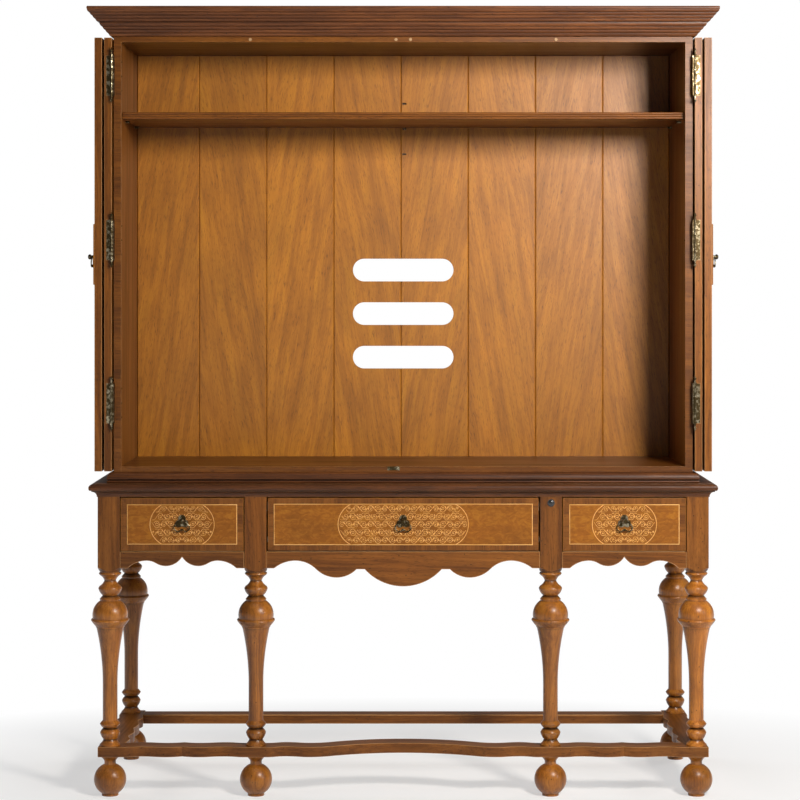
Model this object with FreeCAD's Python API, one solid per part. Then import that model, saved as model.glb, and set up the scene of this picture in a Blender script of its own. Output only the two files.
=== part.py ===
import FreeCAD, Part
import math
import os

# Television armoire: a case with bi-fold doors, standing on a six-legged drawer stand.
# Millimetres, +X right, +Y back, +Z up. The origin lies on the floor, under the middle of the
# outline. Pieces are drawn as they stand with both pairs of doors folded back along the sides.

# ---------------------------------------------------------------- driving dimensions: stand
stand_width = 1570.0            # over the outer posts
stand_depth = 501.0             # front of the front posts to the back of the back posts
stand_height = 806.0            # floor to the top of the stand
post_width = 57.0               # square part of a leg
post_height = 194.0             # square part above the turning
post_ease = 1.5                 # chamfer along the post's corners
inner_leg_offset = 380.0        # centre line to the middle of an inner front leg
foot_height = 103.0             # floor to the underside of the stretchers
stretcher_thickness = 25.5
board_thickness = 34.0          # stand top
board_overhang = 21.0           # stand top past the posts, front and sides

# Stand top's moulded edge, out from the posts and up from its underside
board_lip_out = 2.0
board_lip_height = 2.5
board_cove_out = 14.3
board_cove_height = 11.5
board_cove_bulge = 3.1
board_fillet_height = 3.0
board_nose_start_out = 18.5
board_nose_end_out = 9.0
board_nose_foot_bulge = 0.9
board_nose_bulge = 3.6
board_top_fillet = 1.5

# Turning of a leg, from the stretcher up. A belly is the widest point of a bead; its rise is
# measured from the bead's foot. Fullness is how far a curve stands off its chord, as a share of
# the chord's length, and hollows are negative.
base_radius = 26.6
base_rim_height = 3.4
base_height = 16.3
base_fullness = -0.08
low_waist_radius = 17.2
low_bead_radius = 25.8
low_bead_belly_rise = 17.7
low_bead_height = 28.9
low_bead_fullness = 0.07
ring_radius = 26.3
ring_belly_rise = 11.1
ring_height = 20.1
ring_foot_fullness = 0.07
ring_top_fullness = 0.02
neck_radius = 18.9
trumpet_radius = 35.3
trumpet_height = 146.0
fillet_radius = 36.8
fillet_height = 2.4
rim_radius = 49.0
rim_rise = 15.4                 # slanted underside
rim_foot_fullness = 0.03
rim_round_height = 4.8
rim_top_fullness = 0.2
dome_foot_radius = 44.6
dome_top_radius = 25.5
dome_height = 45.8
dome_fullness = 0.155
collar_radius = 26.7
collar_rim_height = 4.3
collar_height = 13.2
bulb_root_radius = 18.9
bulb_radius = 30.1
bulb_belly_rise = 17.9
bulb_foot_fullness = 0.09
bulb_shoulder_radius = 25.0
bulb_shoulder_height = 7.5
bulb_shoulder_fullness = 0.1
high_neck_radius = 14.9
high_neck_height = 13.0         # bulb's shoulder to the narrowest point
high_neck_fullness = -0.08
cup_radius = 26.3
cup_height = 14.2               # narrowest point to the cup's edge
cup_fullness = -0.1
disc_radius = 28.8
disc_edge_height = 3.4
disc_round_height = 3.8
disc_top_radius = 26.6
disc_fullness = 0.12
disc_root_radius = 25.0
disc_root_height = 2.6
shoulder_radius = 27.0          # turned foot of the square part
shoulder_height = 12.0
shoulder_fullness = -0.08
tenon_radius = 10.0             # leg's tenon through the stretcher into the foot
tenon_depth = 12.0
tenon_play = 0.1

# Ball foot
ball_radius = 41.5
foot_neck_radius = 14.8
foot_neck_height = 88.5         # floor to the top of the straight neck
foot_collar_radius = 25.0
foot_collar_height = 2.5
foot_collar_fullness = -0.06
foot_pad_radius = 21.4

# A wave's two arcs meet at this share of its length
even_share = 0.5
# Serpentine front stretcher: how far each wave goes back, and where, from the span's middle
bow_depth = 54.0
bow_shoulder_x = 240.0
bow_shoulder_depth = 1.0
bow_shoulder_share = 0.21
centre_ripple_x = 302.0
centre_ripple_depth = 11.0
side_cusp_depth = 9.0
side_shoulder_x = 41.0
side_ripple_x = 109.0
side_ripple_depth = 9.0
# Side stretcher: how far each wave goes out, and where, from the middle of its length
scroll_width = 65.0
scroll_end_depth = 5.0
scroll_cusp_depth = 8.6
scroll_shoulder_y = 58.0
scroll_ripple_y = 103.0
scroll_ripple_depth = 8.4
scroll_lobe_y = 145.0
back_stretcher_width = 52.0
back_stretcher_inset = 14.0     # in from the back of the posts

# Aprons and rails under the drawers
apron_thickness = 22.0
apron_setback = 1.0             # behind the posts' front face
apron_top_gap = 1.8             # below the drawer fronts
apron_end_drop = 43.0           # apron's top to its end flats
side_apron_crest_x = 91.0
side_apron_crest_rise = 19.5
side_apron_lobe_x = 42.0
side_apron_lobe_rise = 5.5
side_apron_cusp_rise = 29.0
apron_flat_length = 20.0
mid_apron_crest_x = 277.0
mid_apron_crest_rise = 19.5
mid_apron_lobe_x = 171.0
mid_apron_lobe_drop = 24.0
mid_apron_step_x = 120.0
mid_apron_step_drop = 2.5
mid_apron_step_length = 21.0
mid_apron_drop = 46.5
end_rail_thickness = 20.0
end_rail_setback = 3.0
back_rail_thickness = 18.0
back_rail_drop = 165.0
partition_thickness = 22.0
runner_width = 50.0
runner_thickness = 22.0
guide_height = 12.0             # upstand beside a drawer's side
kicker_height = 24.0
kicker_width = 20.0

# ---------------------------------------------------------------- driving dimensions: drawers
drawer_front_height = 136.0
drawer_front_thickness = 19.0
drawer_setback = 1.0            # behind the posts' front face
drawer_side_gap = 1.8
drawer_top_gap = 3.0
drawer_box_inset = 8.0          # box side behind the end of the drawer front
drawer_box_length = 392.0
drawer_box_height = 100.0
drawer_box_wall = 12.0
drawer_bottom_thickness = 6.0
drawer_bottom_rise = 8.0
drawer_running_gap = 0.4
drawer_guide_gap = 0.8
flap_side_gap = 4.0
flap_back_gap = 1.0
flap_pivot_inset = 4.0          # pivot in from the flap's face and up from its lower edge
flap_pin_radius = 1.5
flap_pin_clearance = 0.06
flap_pin_end_gap = 0.7          # pin's end to the bottom of its hole
flap_hinge_thickness = 2.0
flap_hinge_height = 5.4
flap_hinge_crank = 1.6
flap_hinge_plate_height = 12.0
flap_hinge_length = 60.0
flap_hinge_gap = 0.4
flap_pin_length = 9.0
catch_block_height = 23.0
catch_block_depth = 18.0
catch_block_drop = 12.0
stay_block_height = 13.0
stay_block_rise = 21.0          # above the flap's lower edge

# ---------------------------------------------------------------- driving dimensions: case
case_inset_side = 37.0          # case's sides in from the outer posts
case_inset_front = 35.0         # case's front behind the posts' front
panel_thickness = 19.0
floor_rise = 41.0               # stand top to the case's floor
opening_height = 1097.0         # floor to ceiling
top_rail_show = 13.5            # face of the top rail below the cornice
lipping_depth = 10.0            # solid wood on the front edges
housing_depth = 6.0             # floor and top let into the sides
back_setback = 346.0            # case front to the face of the back boards
back_board_thickness = 12.0
back_board_count = 8
back_board_groove = 2.2         # chamfer on each side of a V-joint
back_board_tongue = 4.0
back_board_tongue_length = 5.0
back_board_play = 0.4
batten_height = 60.0
batten_thickness = 18.0
slot_length = 276.0             # cable slots through the back
slot_height = 62.0
slot_pitch = 119.5
slot_count = 3
lowest_slot_rise = 271.5        # floor to the middle of the lowest slot
shelf_rise = 900.0              # floor to the underside of the shelf
shelf_thickness = 17.5
shelf_setback = 24.0
shelf_side_gap = 1.0
shelf_back_gap = 1.0
shelf_bead_count = 3
shelf_bead_bulge = 1.6
shelf_pin_radius = 3.0
shelf_pin_length = 11.0
shelf_pin_depth = 8.0           # let into the case
shelf_pin_play = 0.1
shelf_pin_front = 92.0          # case front to the front pins
shelf_pin_back = 290.0          # case front to the back pins
centre_pin_pitch = 69.0         # holes for the middle support, up the back
centre_pin_holes = 3
cornice_height = 72.5
cornice_projection = 62.0
cornice_foot = 5.0              # projection of its lowest reed
cornice_fascia_height = 8.5
cornice_fascia_bulge = 1.2
cornice_reeds = 4               # in each of the two tiers
cornice_step_out = 3.0          # flat between the two tiers
cornice_step_height = 3.5
cornice_step_share = 0.52       # of the way up the reeded slope
reed_bulge = 1.7
waist_height = 27.5
waist_projection = 16.0
waist_base_height = 5.5
waist_base_bulge = 1.5
waist_groove_height = 4.0
waist_groove_depth = 3.0
waist_land_height = 3.0
waist_top_out = 3.0
waist_ogee_bulge = 3.2
deck_thickness = 6.0
deck_drop = 6.0                 # dust board's top below the cornice's top
frieze_thickness = 19.0

# ---------------------------------------------------------------- driving dimensions: doors
leaf_thickness = 19.0
door_bottom_gap = 2.0           # above the waist moulding
door_top_gap = 3.5              # below the cornice
door_face_gap = 1.5             # closed leaf to the case front
door_edge_inset = 3.0           # closed leaf's hinge edge inside the case's side
door_meeting_gap = 2.0
fold_edge_gap = 1.5
fold_axis_offset = 3.0          # fold axis off the leaves' inner faces
open_side_gap = 4.0             # open leaf to the case's side
door_open_angle = 270.0
leaf_fold_angle = 180.0
hinge_axis_out = 3.2            # case hinge's axis outside the case's side
hinge_plate_thickness = 2.5
hinge_plate_height = 103.0
hinge_plate_reach = 41.0        # case plate, from the axis back along the side
hinge_leaf_plate_width = 13.5
hinge_barrel_radius = 3.2
hinge_pin_radius = 1.6
hinge_pin_clearance = 0.05
hinge_knuckle_gap = 0.3
hinge_notch_gap = 0.8
hinge_plate_grip = 1.3          # how far a plate runs into its knuckle
hinge_rises = (164.0, 585.0, 1009.0)   # floor of the case to the middle of each hinge
hinge_bolt_pitch = 37.0
hinge_bolt_inset = 10.0         # bolts behind the case front
hinge_bolt_radius = 1.8
hinge_bolt_play = 0.1
hinge_cap_radius = 3.0
hinge_cap_height = 1.6
finial_ring_radius = 4.2
finial_ring_height = 3.0
finial_neck_radius = 2.2
finial_neck_height = 7.0
finial_bead_radius = 3.4
finial_bead_height = 5.0
finial_tip_height = 6.0
fold_plate_thickness = 2.0
fold_plate_width = 15.0
fold_plate_height = 76.0
fold_barrel_radius = 2.7
fold_pin_radius = 1.3
plaque_radius = 78.5
plaque_thickness = 3.0
plaque_bevel = 1.5
plaque_rise = 548.0             # floor of the case to the plaque's middle
bumper_radius = 4.0
bumper_thickness = 1.2
bumper_xs = (18.6, 395.0)
catch_width = 31.0
catch_height = 9.6
catch_depth = 9.0
catch_offset = 25.0
catch_ball_radius = 2.4
catch_stand = 0.6

# ---------------------------------------------------------------- driving dimensions: pulls
pull_plate_radius = 9.5         # each lobe of the three-lobed plate
pull_plate_spread = 7.5
pull_plate_thickness = 2.0
pull_post_radius = 4.2
pull_post_length = 9.5
pull_knob_radius = 6.8
pull_knob_length = 7.5
pull_knob_belly = 2.5           # knob's root to its widest point
pull_knob_bulge = 1.25
pull_knob_face_radius = 2.5
pull_axis_out = 6.2             # bail's axis off the face that the plate sits on
pull_eye_radius = 1.75
pull_eye_clearance = 0.1
bail_wire_radius = 1.6
bail_pin_start = 2.0
bail_shoulder_x = 7.5
bail_shoulder_radius = 2.5
bail_lobe_x = 10.5
bail_lobe_drop = 16.5
bail_lobe_radius = 9.5
bail_notch_radius = 4.0
bail_bud_radius = 2.5
door_pull_inset = 27.0          # pull's middle in from the meeting edge
door_pull_drop = 6.0            # pull's axis below the plaque's middle
drawer_pull_rise = 9.0          # bail's axis above the middle of the drawer front
eye_radius = 9.5
eye_bezel_width = 2.0
eye_bezel_height = 1.5
eye_dome_height = 4.0
eye_rise = 15.5                 # receiver's middle below the stand top's underside

# ---------------------------------------------------------------- worked out from the above
case_depth = stand_depth - case_inset_front
case_half = stand_width / 2.0 - case_inset_side
reach_front = case_depth + cornice_projection       # cornice's lip before the back
reach_back = rim_radius - post_width / 2.0          # leg rims behind the back
back_y = (reach_front - reach_back) / 2.0
case_front = back_y - case_depth
inner_half = case_half - panel_thickness
post_front = back_y - stand_depth
post_half = post_width / 2.0
stand_half = stand_width / 2.0
outer_leg_offset = stand_half - post_half
front_leg_y = post_front + post_half
back_leg_y = back_y - post_half
stretcher_top = foot_height + stretcher_thickness
board_under = stand_height - board_thickness
post_bottom = board_under - post_height
floor_z = stand_height + floor_rise
ceiling_z = floor_z + opening_height
cornice_bottom = ceiling_z + top_rail_show
cornice_top = cornice_bottom + cornice_height
back_face_y = case_front + back_setback
shelf_under = floor_z + shelf_rise
drawer_top = board_under - drawer_top_gap
drawer_bottom = drawer_top - drawer_front_height
apron_top = drawer_bottom - apron_top_gap
apron_front = post_front + apron_setback
drawer_face = post_front + drawer_setback
drawer_box_front = drawer_face + drawer_front_thickness
drawer_box_under = drawer_bottom + drawer_bottom_rise
drawer_pull_z = (drawer_top + drawer_bottom) / 2.0 + drawer_pull_rise
back_rail_front = back_y - end_rail_setback - back_rail_thickness
back_stretcher_front = back_y - back_stretcher_inset - back_stretcher_width
side_bay_middle = (outer_leg_offset + inner_leg_offset) / 2.0
side_bay_half = (outer_leg_offset - inner_leg_offset) / 2.0 - post_half
mid_bay_half = inner_leg_offset - post_half
door_bottom = stand_height + waist_height + door_bottom_gap
door_top = cornice_bottom - door_top_gap
leaf_inner_face = case_front - door_face_gap
leaf_outer_face = leaf_inner_face - leaf_thickness
leaf_hinge_edge = case_half - door_edge_inset
hinge_axis_x = case_half + hinge_axis_out
hinge_axis_y = case_front - (door_face_gap + leaf_thickness + open_side_gap - hinge_axis_out)
fold_axis_x = (leaf_hinge_edge + door_meeting_gap / 2.0) / 2.0
fold_axis_y = leaf_inner_face + fold_axis_offset
plaque_z = floor_z + plaque_rise
door_pull_z = plaque_z - door_pull_drop
hinge_zs = [floor_z + rise for rise in hinge_rises]


# ---------------------------------------------------------------- drawing helpers
def vec(x=0.0, y=0.0, z=0.0):
    """Point or direction."""
    return FreeCAD.Vector(x, y, z)


def plan(z=0.0):
    """Plane seen from above: the two coordinates are X and Y."""
    return lambda u, v: vec(u, v, z)


def front(y=0.0):
    """Plane seen from the front: the two coordinates are X and Z."""
    return lambda u, v: vec(u, y, v)


def side(x=0.0):
    """Plane seen from the side: the two coordinates are Y and Z."""
    return lambda u, v: vec(x, u, v)


class Outline:
    """Lines and arcs joined end to end in one plane."""

    def __init__(self, plane, u, v):
        self.plane = plane
        self.start = (u, v)
        self.u = u
        self.v = v
        self.edges = []

    def line(self, u, v):
        """Straight to (u, v)."""
        here = self.plane(self.u, self.v)
        self.edges.append(Part.LineSegment(here, self.plane(u, v)).toShape())
        self.u, self.v = u, v
        return self

    def arc(self, u, v, bulge):
        """Arc to (u, v) whose middle stands bulge to the left of its chord."""
        du, dv = u - self.u, v - self.v
        span = math.hypot(du, dv)
        mid_u = (self.u + u) / 2.0 - dv / span * bulge
        mid_v = (self.v + v) / 2.0 + du / span * bulge
        here = self.plane(self.u, self.v)
        self.edges.append(Part.Arc(here, self.plane(mid_u, mid_v), self.plane(u, v)).toShape())
        self.u, self.v = u, v
        return self

    def ease(self, u, v, level_at_start):
        """Arc to (u, v) that runs level, along u, at its start or at its end."""
        du, dv = u - self.u, v - self.v
        half_turn = math.atan2(abs(dv), abs(du)) / 2.0
        bulge = math.hypot(du, dv) / 2.0 * math.tan(half_turn)
        side_of_chord = -math.copysign(1.0, du * dv)
        return self.arc(u, v, bulge * side_of_chord * (1.0 if level_at_start else -1.0))

    def swell(self, u, v, fullness):
        """Arc to (u, v) that stands off the right of its chord by fullness of its length."""
        return self.arc(u, v, -fullness * math.hypot(u - self.u, v - self.v))

    def wave(self, u, v, share=even_share):
        """Two arcs to (u, v), level at both ends, that meet at share of the way."""
        mid_u = self.u + (u - self.u) * share
        mid_v = self.v + (v - self.v) * share
        return self.ease(mid_u, mid_v, True).ease(u, v, False)

    def through(self, mid_u, mid_v, u, v):
        """Arc to (u, v) by way of (mid_u, mid_v)."""
        here, middle = self.plane(self.u, self.v), self.plane(mid_u, mid_v)
        self.edges.append(Part.Arc(here, middle, self.plane(u, v)).toShape())
        self.u, self.v = u, v
        return self

    def flare(self, u, v):
        """Smooth curve to (u, v) that starts upright and widens like a trumpet."""
        here, there = self.plane(self.u, self.v), self.plane(u, v)
        rise = (v - self.v) / 2.0
        middle = self.plane(self.u, self.v + rise)
        curve = Part.BezierCurve()
        curve.setPoles([here, middle, there])
        self.edges.append(curve.toShape())
        self.u, self.v = u, v
        return self

    def close(self):
        """Straight back to the start."""
        return self.line(*self.start)

    def wire(self):
        """The outline as a wire."""
        return Part.Wire(Part.__sortEdges__(self.edges))

    def face(self):
        """The closed outline, filled."""
        return Part.Face(self.wire())


def block(x0, x1, y0, y1, z0, z1):
    """Rectangular solid between two opposite corners, given in any order."""
    low = vec(min(x0, x1), min(y0, y1), min(z0, z1))
    return Part.makeBox(abs(x1 - x0), abs(y1 - y0), abs(z1 - z0), low)


def rod(base, direction, radius, length):
    """Round rod from a base point."""
    return Part.makeCylinder(radius, length, base, direction)


def mirrored(shape):
    """The same shape on the other side of the centre line."""
    return shape.mirror(vec(), vec(1, 0, 0))


def pair(shape):
    """A shape on the right and its mirror image on the left."""
    return [shape, mirrored(shape)]


def joined(shapes):
    """Touching shapes fused into one solid."""
    result = shapes[0]
    for shape in shapes[1:]:
        result = result.fuse(shape)
    return result.removeSplitter()


def turned(outline, x, y):
    """Outline in (radius, Z), turned about a vertical axis at (x, y)."""
    solid = outline.face().revolve(vec(), vec(0, 0, 1), 360)
    solid.translate(vec(x, y, 0))
    return solid


def mitred_runs(profile, half, front_y, reach):
    """Front run and right-hand run of a moulding, mitred where they meet.

    profile(plane) draws the section from a plane whose first coordinate is the distance out from
    the carcase, and reach is its greatest value.
    """
    front_run = profile(lambda out, z: vec(-half - reach, front_y - out, z)).face()
    front_run = front_run.extrude(vec(2.0 * (half + reach), 0, 0))
    side_run = profile(lambda out, z: vec(half + out, front_y - reach, z)).face()
    side_run = side_run.extrude(vec(0, back_y - front_y + reach, 0))
    box = front_run.BoundBox
    low, tall = box.ZMin, box.ZLength
    mitre_half = half + reach
    front_zone = Outline(plan(low), -mitre_half, front_y - reach).line(mitre_half, front_y - reach)
    front_zone = front_zone.line(half, front_y).line(-half, front_y).close().face()
    side_zone = Outline(plan(low), mitre_half, front_y - reach).line(mitre_half, back_y)
    side_zone = side_zone.line(half, back_y).line(half, front_y).close().face()
    return (front_run.common(front_zone.extrude(vec(0, 0, tall))),
            side_run.common(side_zone.extrude(vec(0, 0, tall))))


# ---------------------------------------------------------------- stand
def lathe_outline(z):
    """Outline in (radius, Z) that starts on the axis at z."""
    return Outline(lambda r, h: vec(r, 0, h), 0.0, z)


def lower_turning(shape):
    """Base, bead and ring of a leg, from the stretcher up to its neck."""
    z = stretcher_top
    shape.line(base_radius, z).line(base_radius, z + base_rim_height)
    z += base_height
    shape.swell(low_waist_radius, z, base_fullness)
    shape.swell(low_bead_radius, z + low_bead_belly_rise, low_bead_fullness)
    z += low_bead_height
    shape.swell(low_waist_radius, z, low_bead_fullness)
    shape.swell(ring_radius, z + ring_belly_rise, ring_foot_fullness)
    shape.swell(neck_radius, z + ring_height, ring_top_fullness)


def upper_turning(shape, z):
    """Fillet, rim, dome, collar, bulb and disc of a leg, from the trumpet's top at z up."""
    shape.line(fillet_radius, z).line(fillet_radius, z + fillet_height)
    z += fillet_height
    shape.swell(rim_radius, z + rim_rise, rim_foot_fullness)
    z += rim_rise + rim_round_height
    shape.swell(dome_foot_radius, z, rim_top_fullness)
    z += dome_height
    shape.swell(dome_top_radius, z, dome_fullness)
    shape.line(collar_radius, z + collar_rim_height)
    z += collar_height
    shape.line(bulb_root_radius, z)
    z += bulb_belly_rise
    shape.swell(bulb_radius, z, bulb_foot_fullness)
    z += bulb_shoulder_height
    shape.swell(bulb_shoulder_radius, z, bulb_shoulder_fullness)
    z += high_neck_height
    shape.swell(high_neck_radius, z, high_neck_fullness)
    z += cup_height
    shape.swell(cup_radius, z, cup_fullness)
    z += disc_edge_height
    shape.line(disc_radius, z)
    z += disc_round_height
    shape.swell(disc_top_radius, z, disc_fullness)
    shape.line(disc_root_radius, z).line(disc_root_radius, z + disc_root_height)


def leg_turning():
    """Section of the turned part of a leg, in (radius, Z)."""
    upper_height = (fillet_height + rim_rise + rim_round_height + dome_height + collar_height
                    + bulb_belly_rise + bulb_shoulder_height + high_neck_height + cup_height
                    + disc_edge_height + disc_round_height + disc_root_height)
    trumpet_top = post_bottom - upper_height
    shape = lathe_outline(stretcher_top)
    lower_turning(shape)
    shape.line(neck_radius, trumpet_top - trumpet_height).flare(trumpet_radius, trumpet_top)
    upper_turning(shape, trumpet_top)
    return shape.line(0.0, post_bottom).close()


def post_turning():
    """Section that rounds off the foot of the square part of a leg, in (radius, Z)."""
    clear = post_half * math.sqrt(2.0)
    shape = lathe_outline(post_bottom).line(shoulder_radius, post_bottom)
    shape.swell(clear, post_bottom + shoulder_height, shoulder_fullness)
    return shape.line(clear, board_under).line(0.0, board_under).close()


def square_post(x, y, z0, z1):
    """Square post with eased corners about (x, y)."""
    flat = post_half - post_ease
    shape = Outline(plan(z0), x - flat, y - post_half).line(x + flat, y - post_half)
    shape.line(x + post_half, y - flat).line(x + post_half, y + flat)
    shape.line(x + flat, y + post_half).line(x - flat, y + post_half)
    shape.line(x - post_half, y + flat).line(x - post_half, y - flat).close()
    return shape.face().extrude(vec(0, 0, z1 - z0))


def tenon(x, y, play):
    """Tenon under a leg, or with some play the hole for it."""
    low = foot_height - tenon_depth - play
    return rod(vec(x, y, low), vec(0, 0, 1), tenon_radius + play, stretcher_top - low)


def leg(x, y):
    """Leg in one piece: tenon, turning and square post with a turned foot."""
    post = square_post(x, y, post_bottom, board_under).common(turned(post_turning(), x, y))
    return joined([tenon(x, y, 0.0), turned(leg_turning(), x, y), post])


def ball_foot(x, y):
    """Ball foot with its neck, collar and pad, bored for a leg's tenon."""
    neck_z = ball_radius + math.sqrt(ball_radius ** 2 - foot_neck_radius ** 2)
    pad_z = ball_radius - math.sqrt(ball_radius ** 2 - foot_pad_radius ** 2)
    shape = lathe_outline(0.0).line(foot_pad_radius, 0.0).line(foot_pad_radius, pad_z)
    shape.through(ball_radius, ball_radius, foot_neck_radius, neck_z)
    shape.line(foot_neck_radius, foot_neck_height)
    collar_z = foot_height - foot_collar_height
    shape.swell(foot_collar_radius, collar_z, foot_collar_fullness)
    shape.line(foot_collar_radius, foot_height).line(0.0, foot_height).close()
    return turned(shape, x, y).cut(tenon(x, y, tenon_play))


def rippled_board(stops, width, place, leg_places):
    """Flat board whose long edges both follow the same waves, bored for the legs that stand on it.

    stops are (along, depth, how the edge comes there, share of a wave) from end to end, and
    place(along, depth) is a point of the board's underside.
    """
    def edge(offset):
        line = Outline(place, stops[0][0], offset + stops[0][1])
        for along, depth, kind, share in stops[1:]:
            if kind == "line":
                line.line(along, offset + depth)
            elif kind == "wave":
                line.wave(along, offset + depth, share)
            else:
                line.ease(along, offset + depth, kind == "from level")
        return line
    near, far = edge(0.0), edge(width)
    ends = [Part.LineSegment(place(along, depth), place(along, depth + width)).toShape()
            for along, depth in (stops[0][:2], stops[-1][:2])]
    wire = Part.Wire(Part.__sortEdges__(near.edges + far.edges + ends))
    board = Part.Face(wire).extrude(vec(0, 0, stretcher_thickness))
    for x, y in leg_places:
        board = board.cut(tenon(x, y, tenon_play))
    return board


def end_stretcher():
    """Serpentine board under the right outer leg, from the cusp of the outer bay."""
    place = lambda u, v: vec(u, post_front + v, foot_height)
    cusp = side_bay_middle
    return rippled_board([
        (cusp, side_cusp_depth, "line", even_share),
        (cusp + side_shoulder_x, 0.0, "to level", even_share),
        (cusp + side_ripple_x, side_ripple_depth, "wave", even_share),
        (outer_leg_offset - post_half, 0.0, "wave", even_share),
        (stand_half, 0.0, "line", even_share)], post_width, place,
        [(outer_leg_offset, front_leg_y)])


def front_stretchers():
    """Three serpentine boards under the front legs, butted at the cusps of the outer bays."""
    place = lambda u, v: vec(u, post_front + v, foot_height)
    cusp, inner_face = side_bay_middle, inner_leg_offset + post_half
    right_half = [
        (bow_shoulder_x, bow_shoulder_depth, "wave", 1.0 - bow_shoulder_share),
        (centre_ripple_x, centre_ripple_depth, "wave", even_share),
        (mid_bay_half, 0.0, "wave", even_share),
        (inner_face, 0.0, "line", even_share),
        (cusp - side_ripple_x, side_ripple_depth, "wave", even_share),
        (cusp - side_shoulder_x, 0.0, "wave", even_share),
        (cusp, side_cusp_depth, "from level", even_share)]
    left_half = [
        (-cusp, side_cusp_depth, "line", even_share),
        (side_shoulder_x - cusp, 0.0, "to level", even_share),
        (side_ripple_x - cusp, side_ripple_depth, "wave", even_share),
        (-inner_face, 0.0, "wave", even_share),
        (-mid_bay_half, 0.0, "line", even_share),
        (-centre_ripple_x, centre_ripple_depth, "wave", even_share),
        (-bow_shoulder_x, bow_shoulder_depth, "wave", even_share),
        (0.0, bow_depth, "wave", bow_shoulder_share)]
    inner_legs = [(way * inner_leg_offset, front_leg_y) for way in (-1.0, 1.0)]
    centre = rippled_board(left_half + right_half, post_width, place, inner_legs)
    return [centre] + pair(end_stretcher())


def back_stretcher():
    """Straight board between the two side stretchers."""
    reach = stand_half - scroll_width
    return [block(-reach, reach, back_stretcher_front, back_stretcher_front + back_stretcher_width,
                  foot_height, stretcher_top)]


def side_stretchers():
    """Serpentine boards under the back legs, coped to the last wave of the front ones."""
    inner = stand_half - scroll_width - scroll_end_depth
    place = lambda u, v: vec(inner + v, u, foot_height)
    middle = (front_leg_y + back_leg_y) / 2.0
    board = rippled_board([
        (post_front + post_width, scroll_end_depth, "line", even_share),
        (middle - scroll_lobe_y, 0.0, "wave", even_share),
        (middle - scroll_ripple_y, scroll_ripple_depth, "wave", even_share),
        (middle - scroll_shoulder_y, 0.0, "wave", even_share),
        (middle, scroll_cusp_depth, "from level", even_share),
        (middle + scroll_shoulder_y, 0.0, "to level", even_share),
        (middle + scroll_ripple_y, scroll_ripple_depth, "wave", even_share),
        (middle + scroll_lobe_y, 0.0, "wave", even_share),
        (back_stretcher_front, scroll_end_depth, "wave", even_share),
        (back_y, scroll_end_depth, "line", even_share)], scroll_width, place,
        [(outer_leg_offset, back_leg_y)])
    return pair(board.cut(end_stretcher()))


def stand_top():
    """Top board with a moulded edge on the front and both sides, square at the back."""
    def profile(plane):
        under = board_under
        lip_top = under + board_lip_height
        cove_top = lip_top + board_cove_height
        nose_foot = cove_top + board_fillet_height
        nose_top = stand_height - board_top_fillet
        shape = Outline(plane, 0.0, under).line(board_lip_out, under).line(board_lip_out, lip_top)
        shape.arc(board_cove_out, cove_top, board_cove_bulge)
        shape.line(board_cove_out, nose_foot).line(board_nose_start_out, nose_foot)
        nose_mid = (nose_foot + nose_top) / 2.0
        shape.arc(board_overhang, nose_mid, -board_nose_foot_bulge)
        shape.arc(board_nose_end_out, nose_top, -board_nose_bulge)
        return shape.line(board_nose_end_out, stand_height).line(0.0, stand_height).close()
    front_run, right_run = mitred_runs(profile, stand_half, post_front, board_overhang)
    core = block(-stand_half, stand_half, post_front, back_y, board_under, stand_height)
    return [joined([core, front_run] + pair(right_run))]


def apron_board(x, half, lower_edge, y, thickness):
    """Apron between two posts; lower_edge draws on from the left end to the right one."""
    shape = Outline(front(y), x - half, apron_top)
    shape.line(x - half, apron_top - apron_end_drop)
    lower_edge(shape, x, half)
    return shape.line(x + half, apron_top).close().face().extrude(vec(0, thickness, 0))


def scalloped_edge(shape, x, half):
    """Lower edge of a short apron: two arches, two lobes and a cusp between them."""
    low = apron_top - apron_end_drop
    for way in (-1.0, 1.0):
        stops = [(half - apron_flat_length, 0.0), (side_apron_crest_x, side_apron_crest_rise),
                 (side_apron_lobe_x, side_apron_lobe_rise)]
        if way < 0:
            shape.line(x - stops[0][0], low)
            shape.ease(x - stops[1][0], low + stops[1][1], False)
            shape.wave(x - stops[2][0], low + stops[2][1])
            shape.ease(x, low + side_apron_cusp_rise, True)
        else:
            shape.ease(x + stops[2][0], low + stops[2][1], False)
            shape.wave(x + stops[1][0], low + stops[1][1])
            shape.ease(x + stops[0][0], low, True)
            shape.line(x + half, low)


def swagged_edge(shape, x, half):
    """Lower edge of the wide apron: arch, lobe, step and the deep middle swag."""
    low = apron_top - apron_end_drop
    step_in = mid_apron_step_x - mid_apron_step_length
    shape.line(x - half + apron_flat_length, low)
    shape.ease(x - mid_apron_crest_x, low + mid_apron_crest_rise, False)
    shape.wave(x - mid_apron_lobe_x, low - mid_apron_lobe_drop)
    shape.ease(x - mid_apron_step_x, low - mid_apron_step_drop, True)
    shape.line(x - step_in, low - mid_apron_step_drop)
    shape.ease(x, low - mid_apron_drop, False).ease(x + step_in, low - mid_apron_step_drop, True)
    shape.line(x + mid_apron_step_x, low - mid_apron_step_drop)
    shape.ease(x + mid_apron_lobe_x, low - mid_apron_lobe_drop, False)
    shape.wave(x + mid_apron_crest_x, low + mid_apron_crest_rise)
    shape.ease(x + half - apron_flat_length, low, True)
    shape.line(x + half, low)


def side_aprons():
    """Short aprons under the outer drawers."""
    return pair(apron_board(side_bay_middle, side_bay_half, scalloped_edge, apron_front,
                            apron_thickness))


def middle_apron():
    """Wide apron under the middle drawer."""
    return [apron_board(0.0, mid_bay_half, swagged_edge, apron_front, apron_thickness)]


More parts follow.
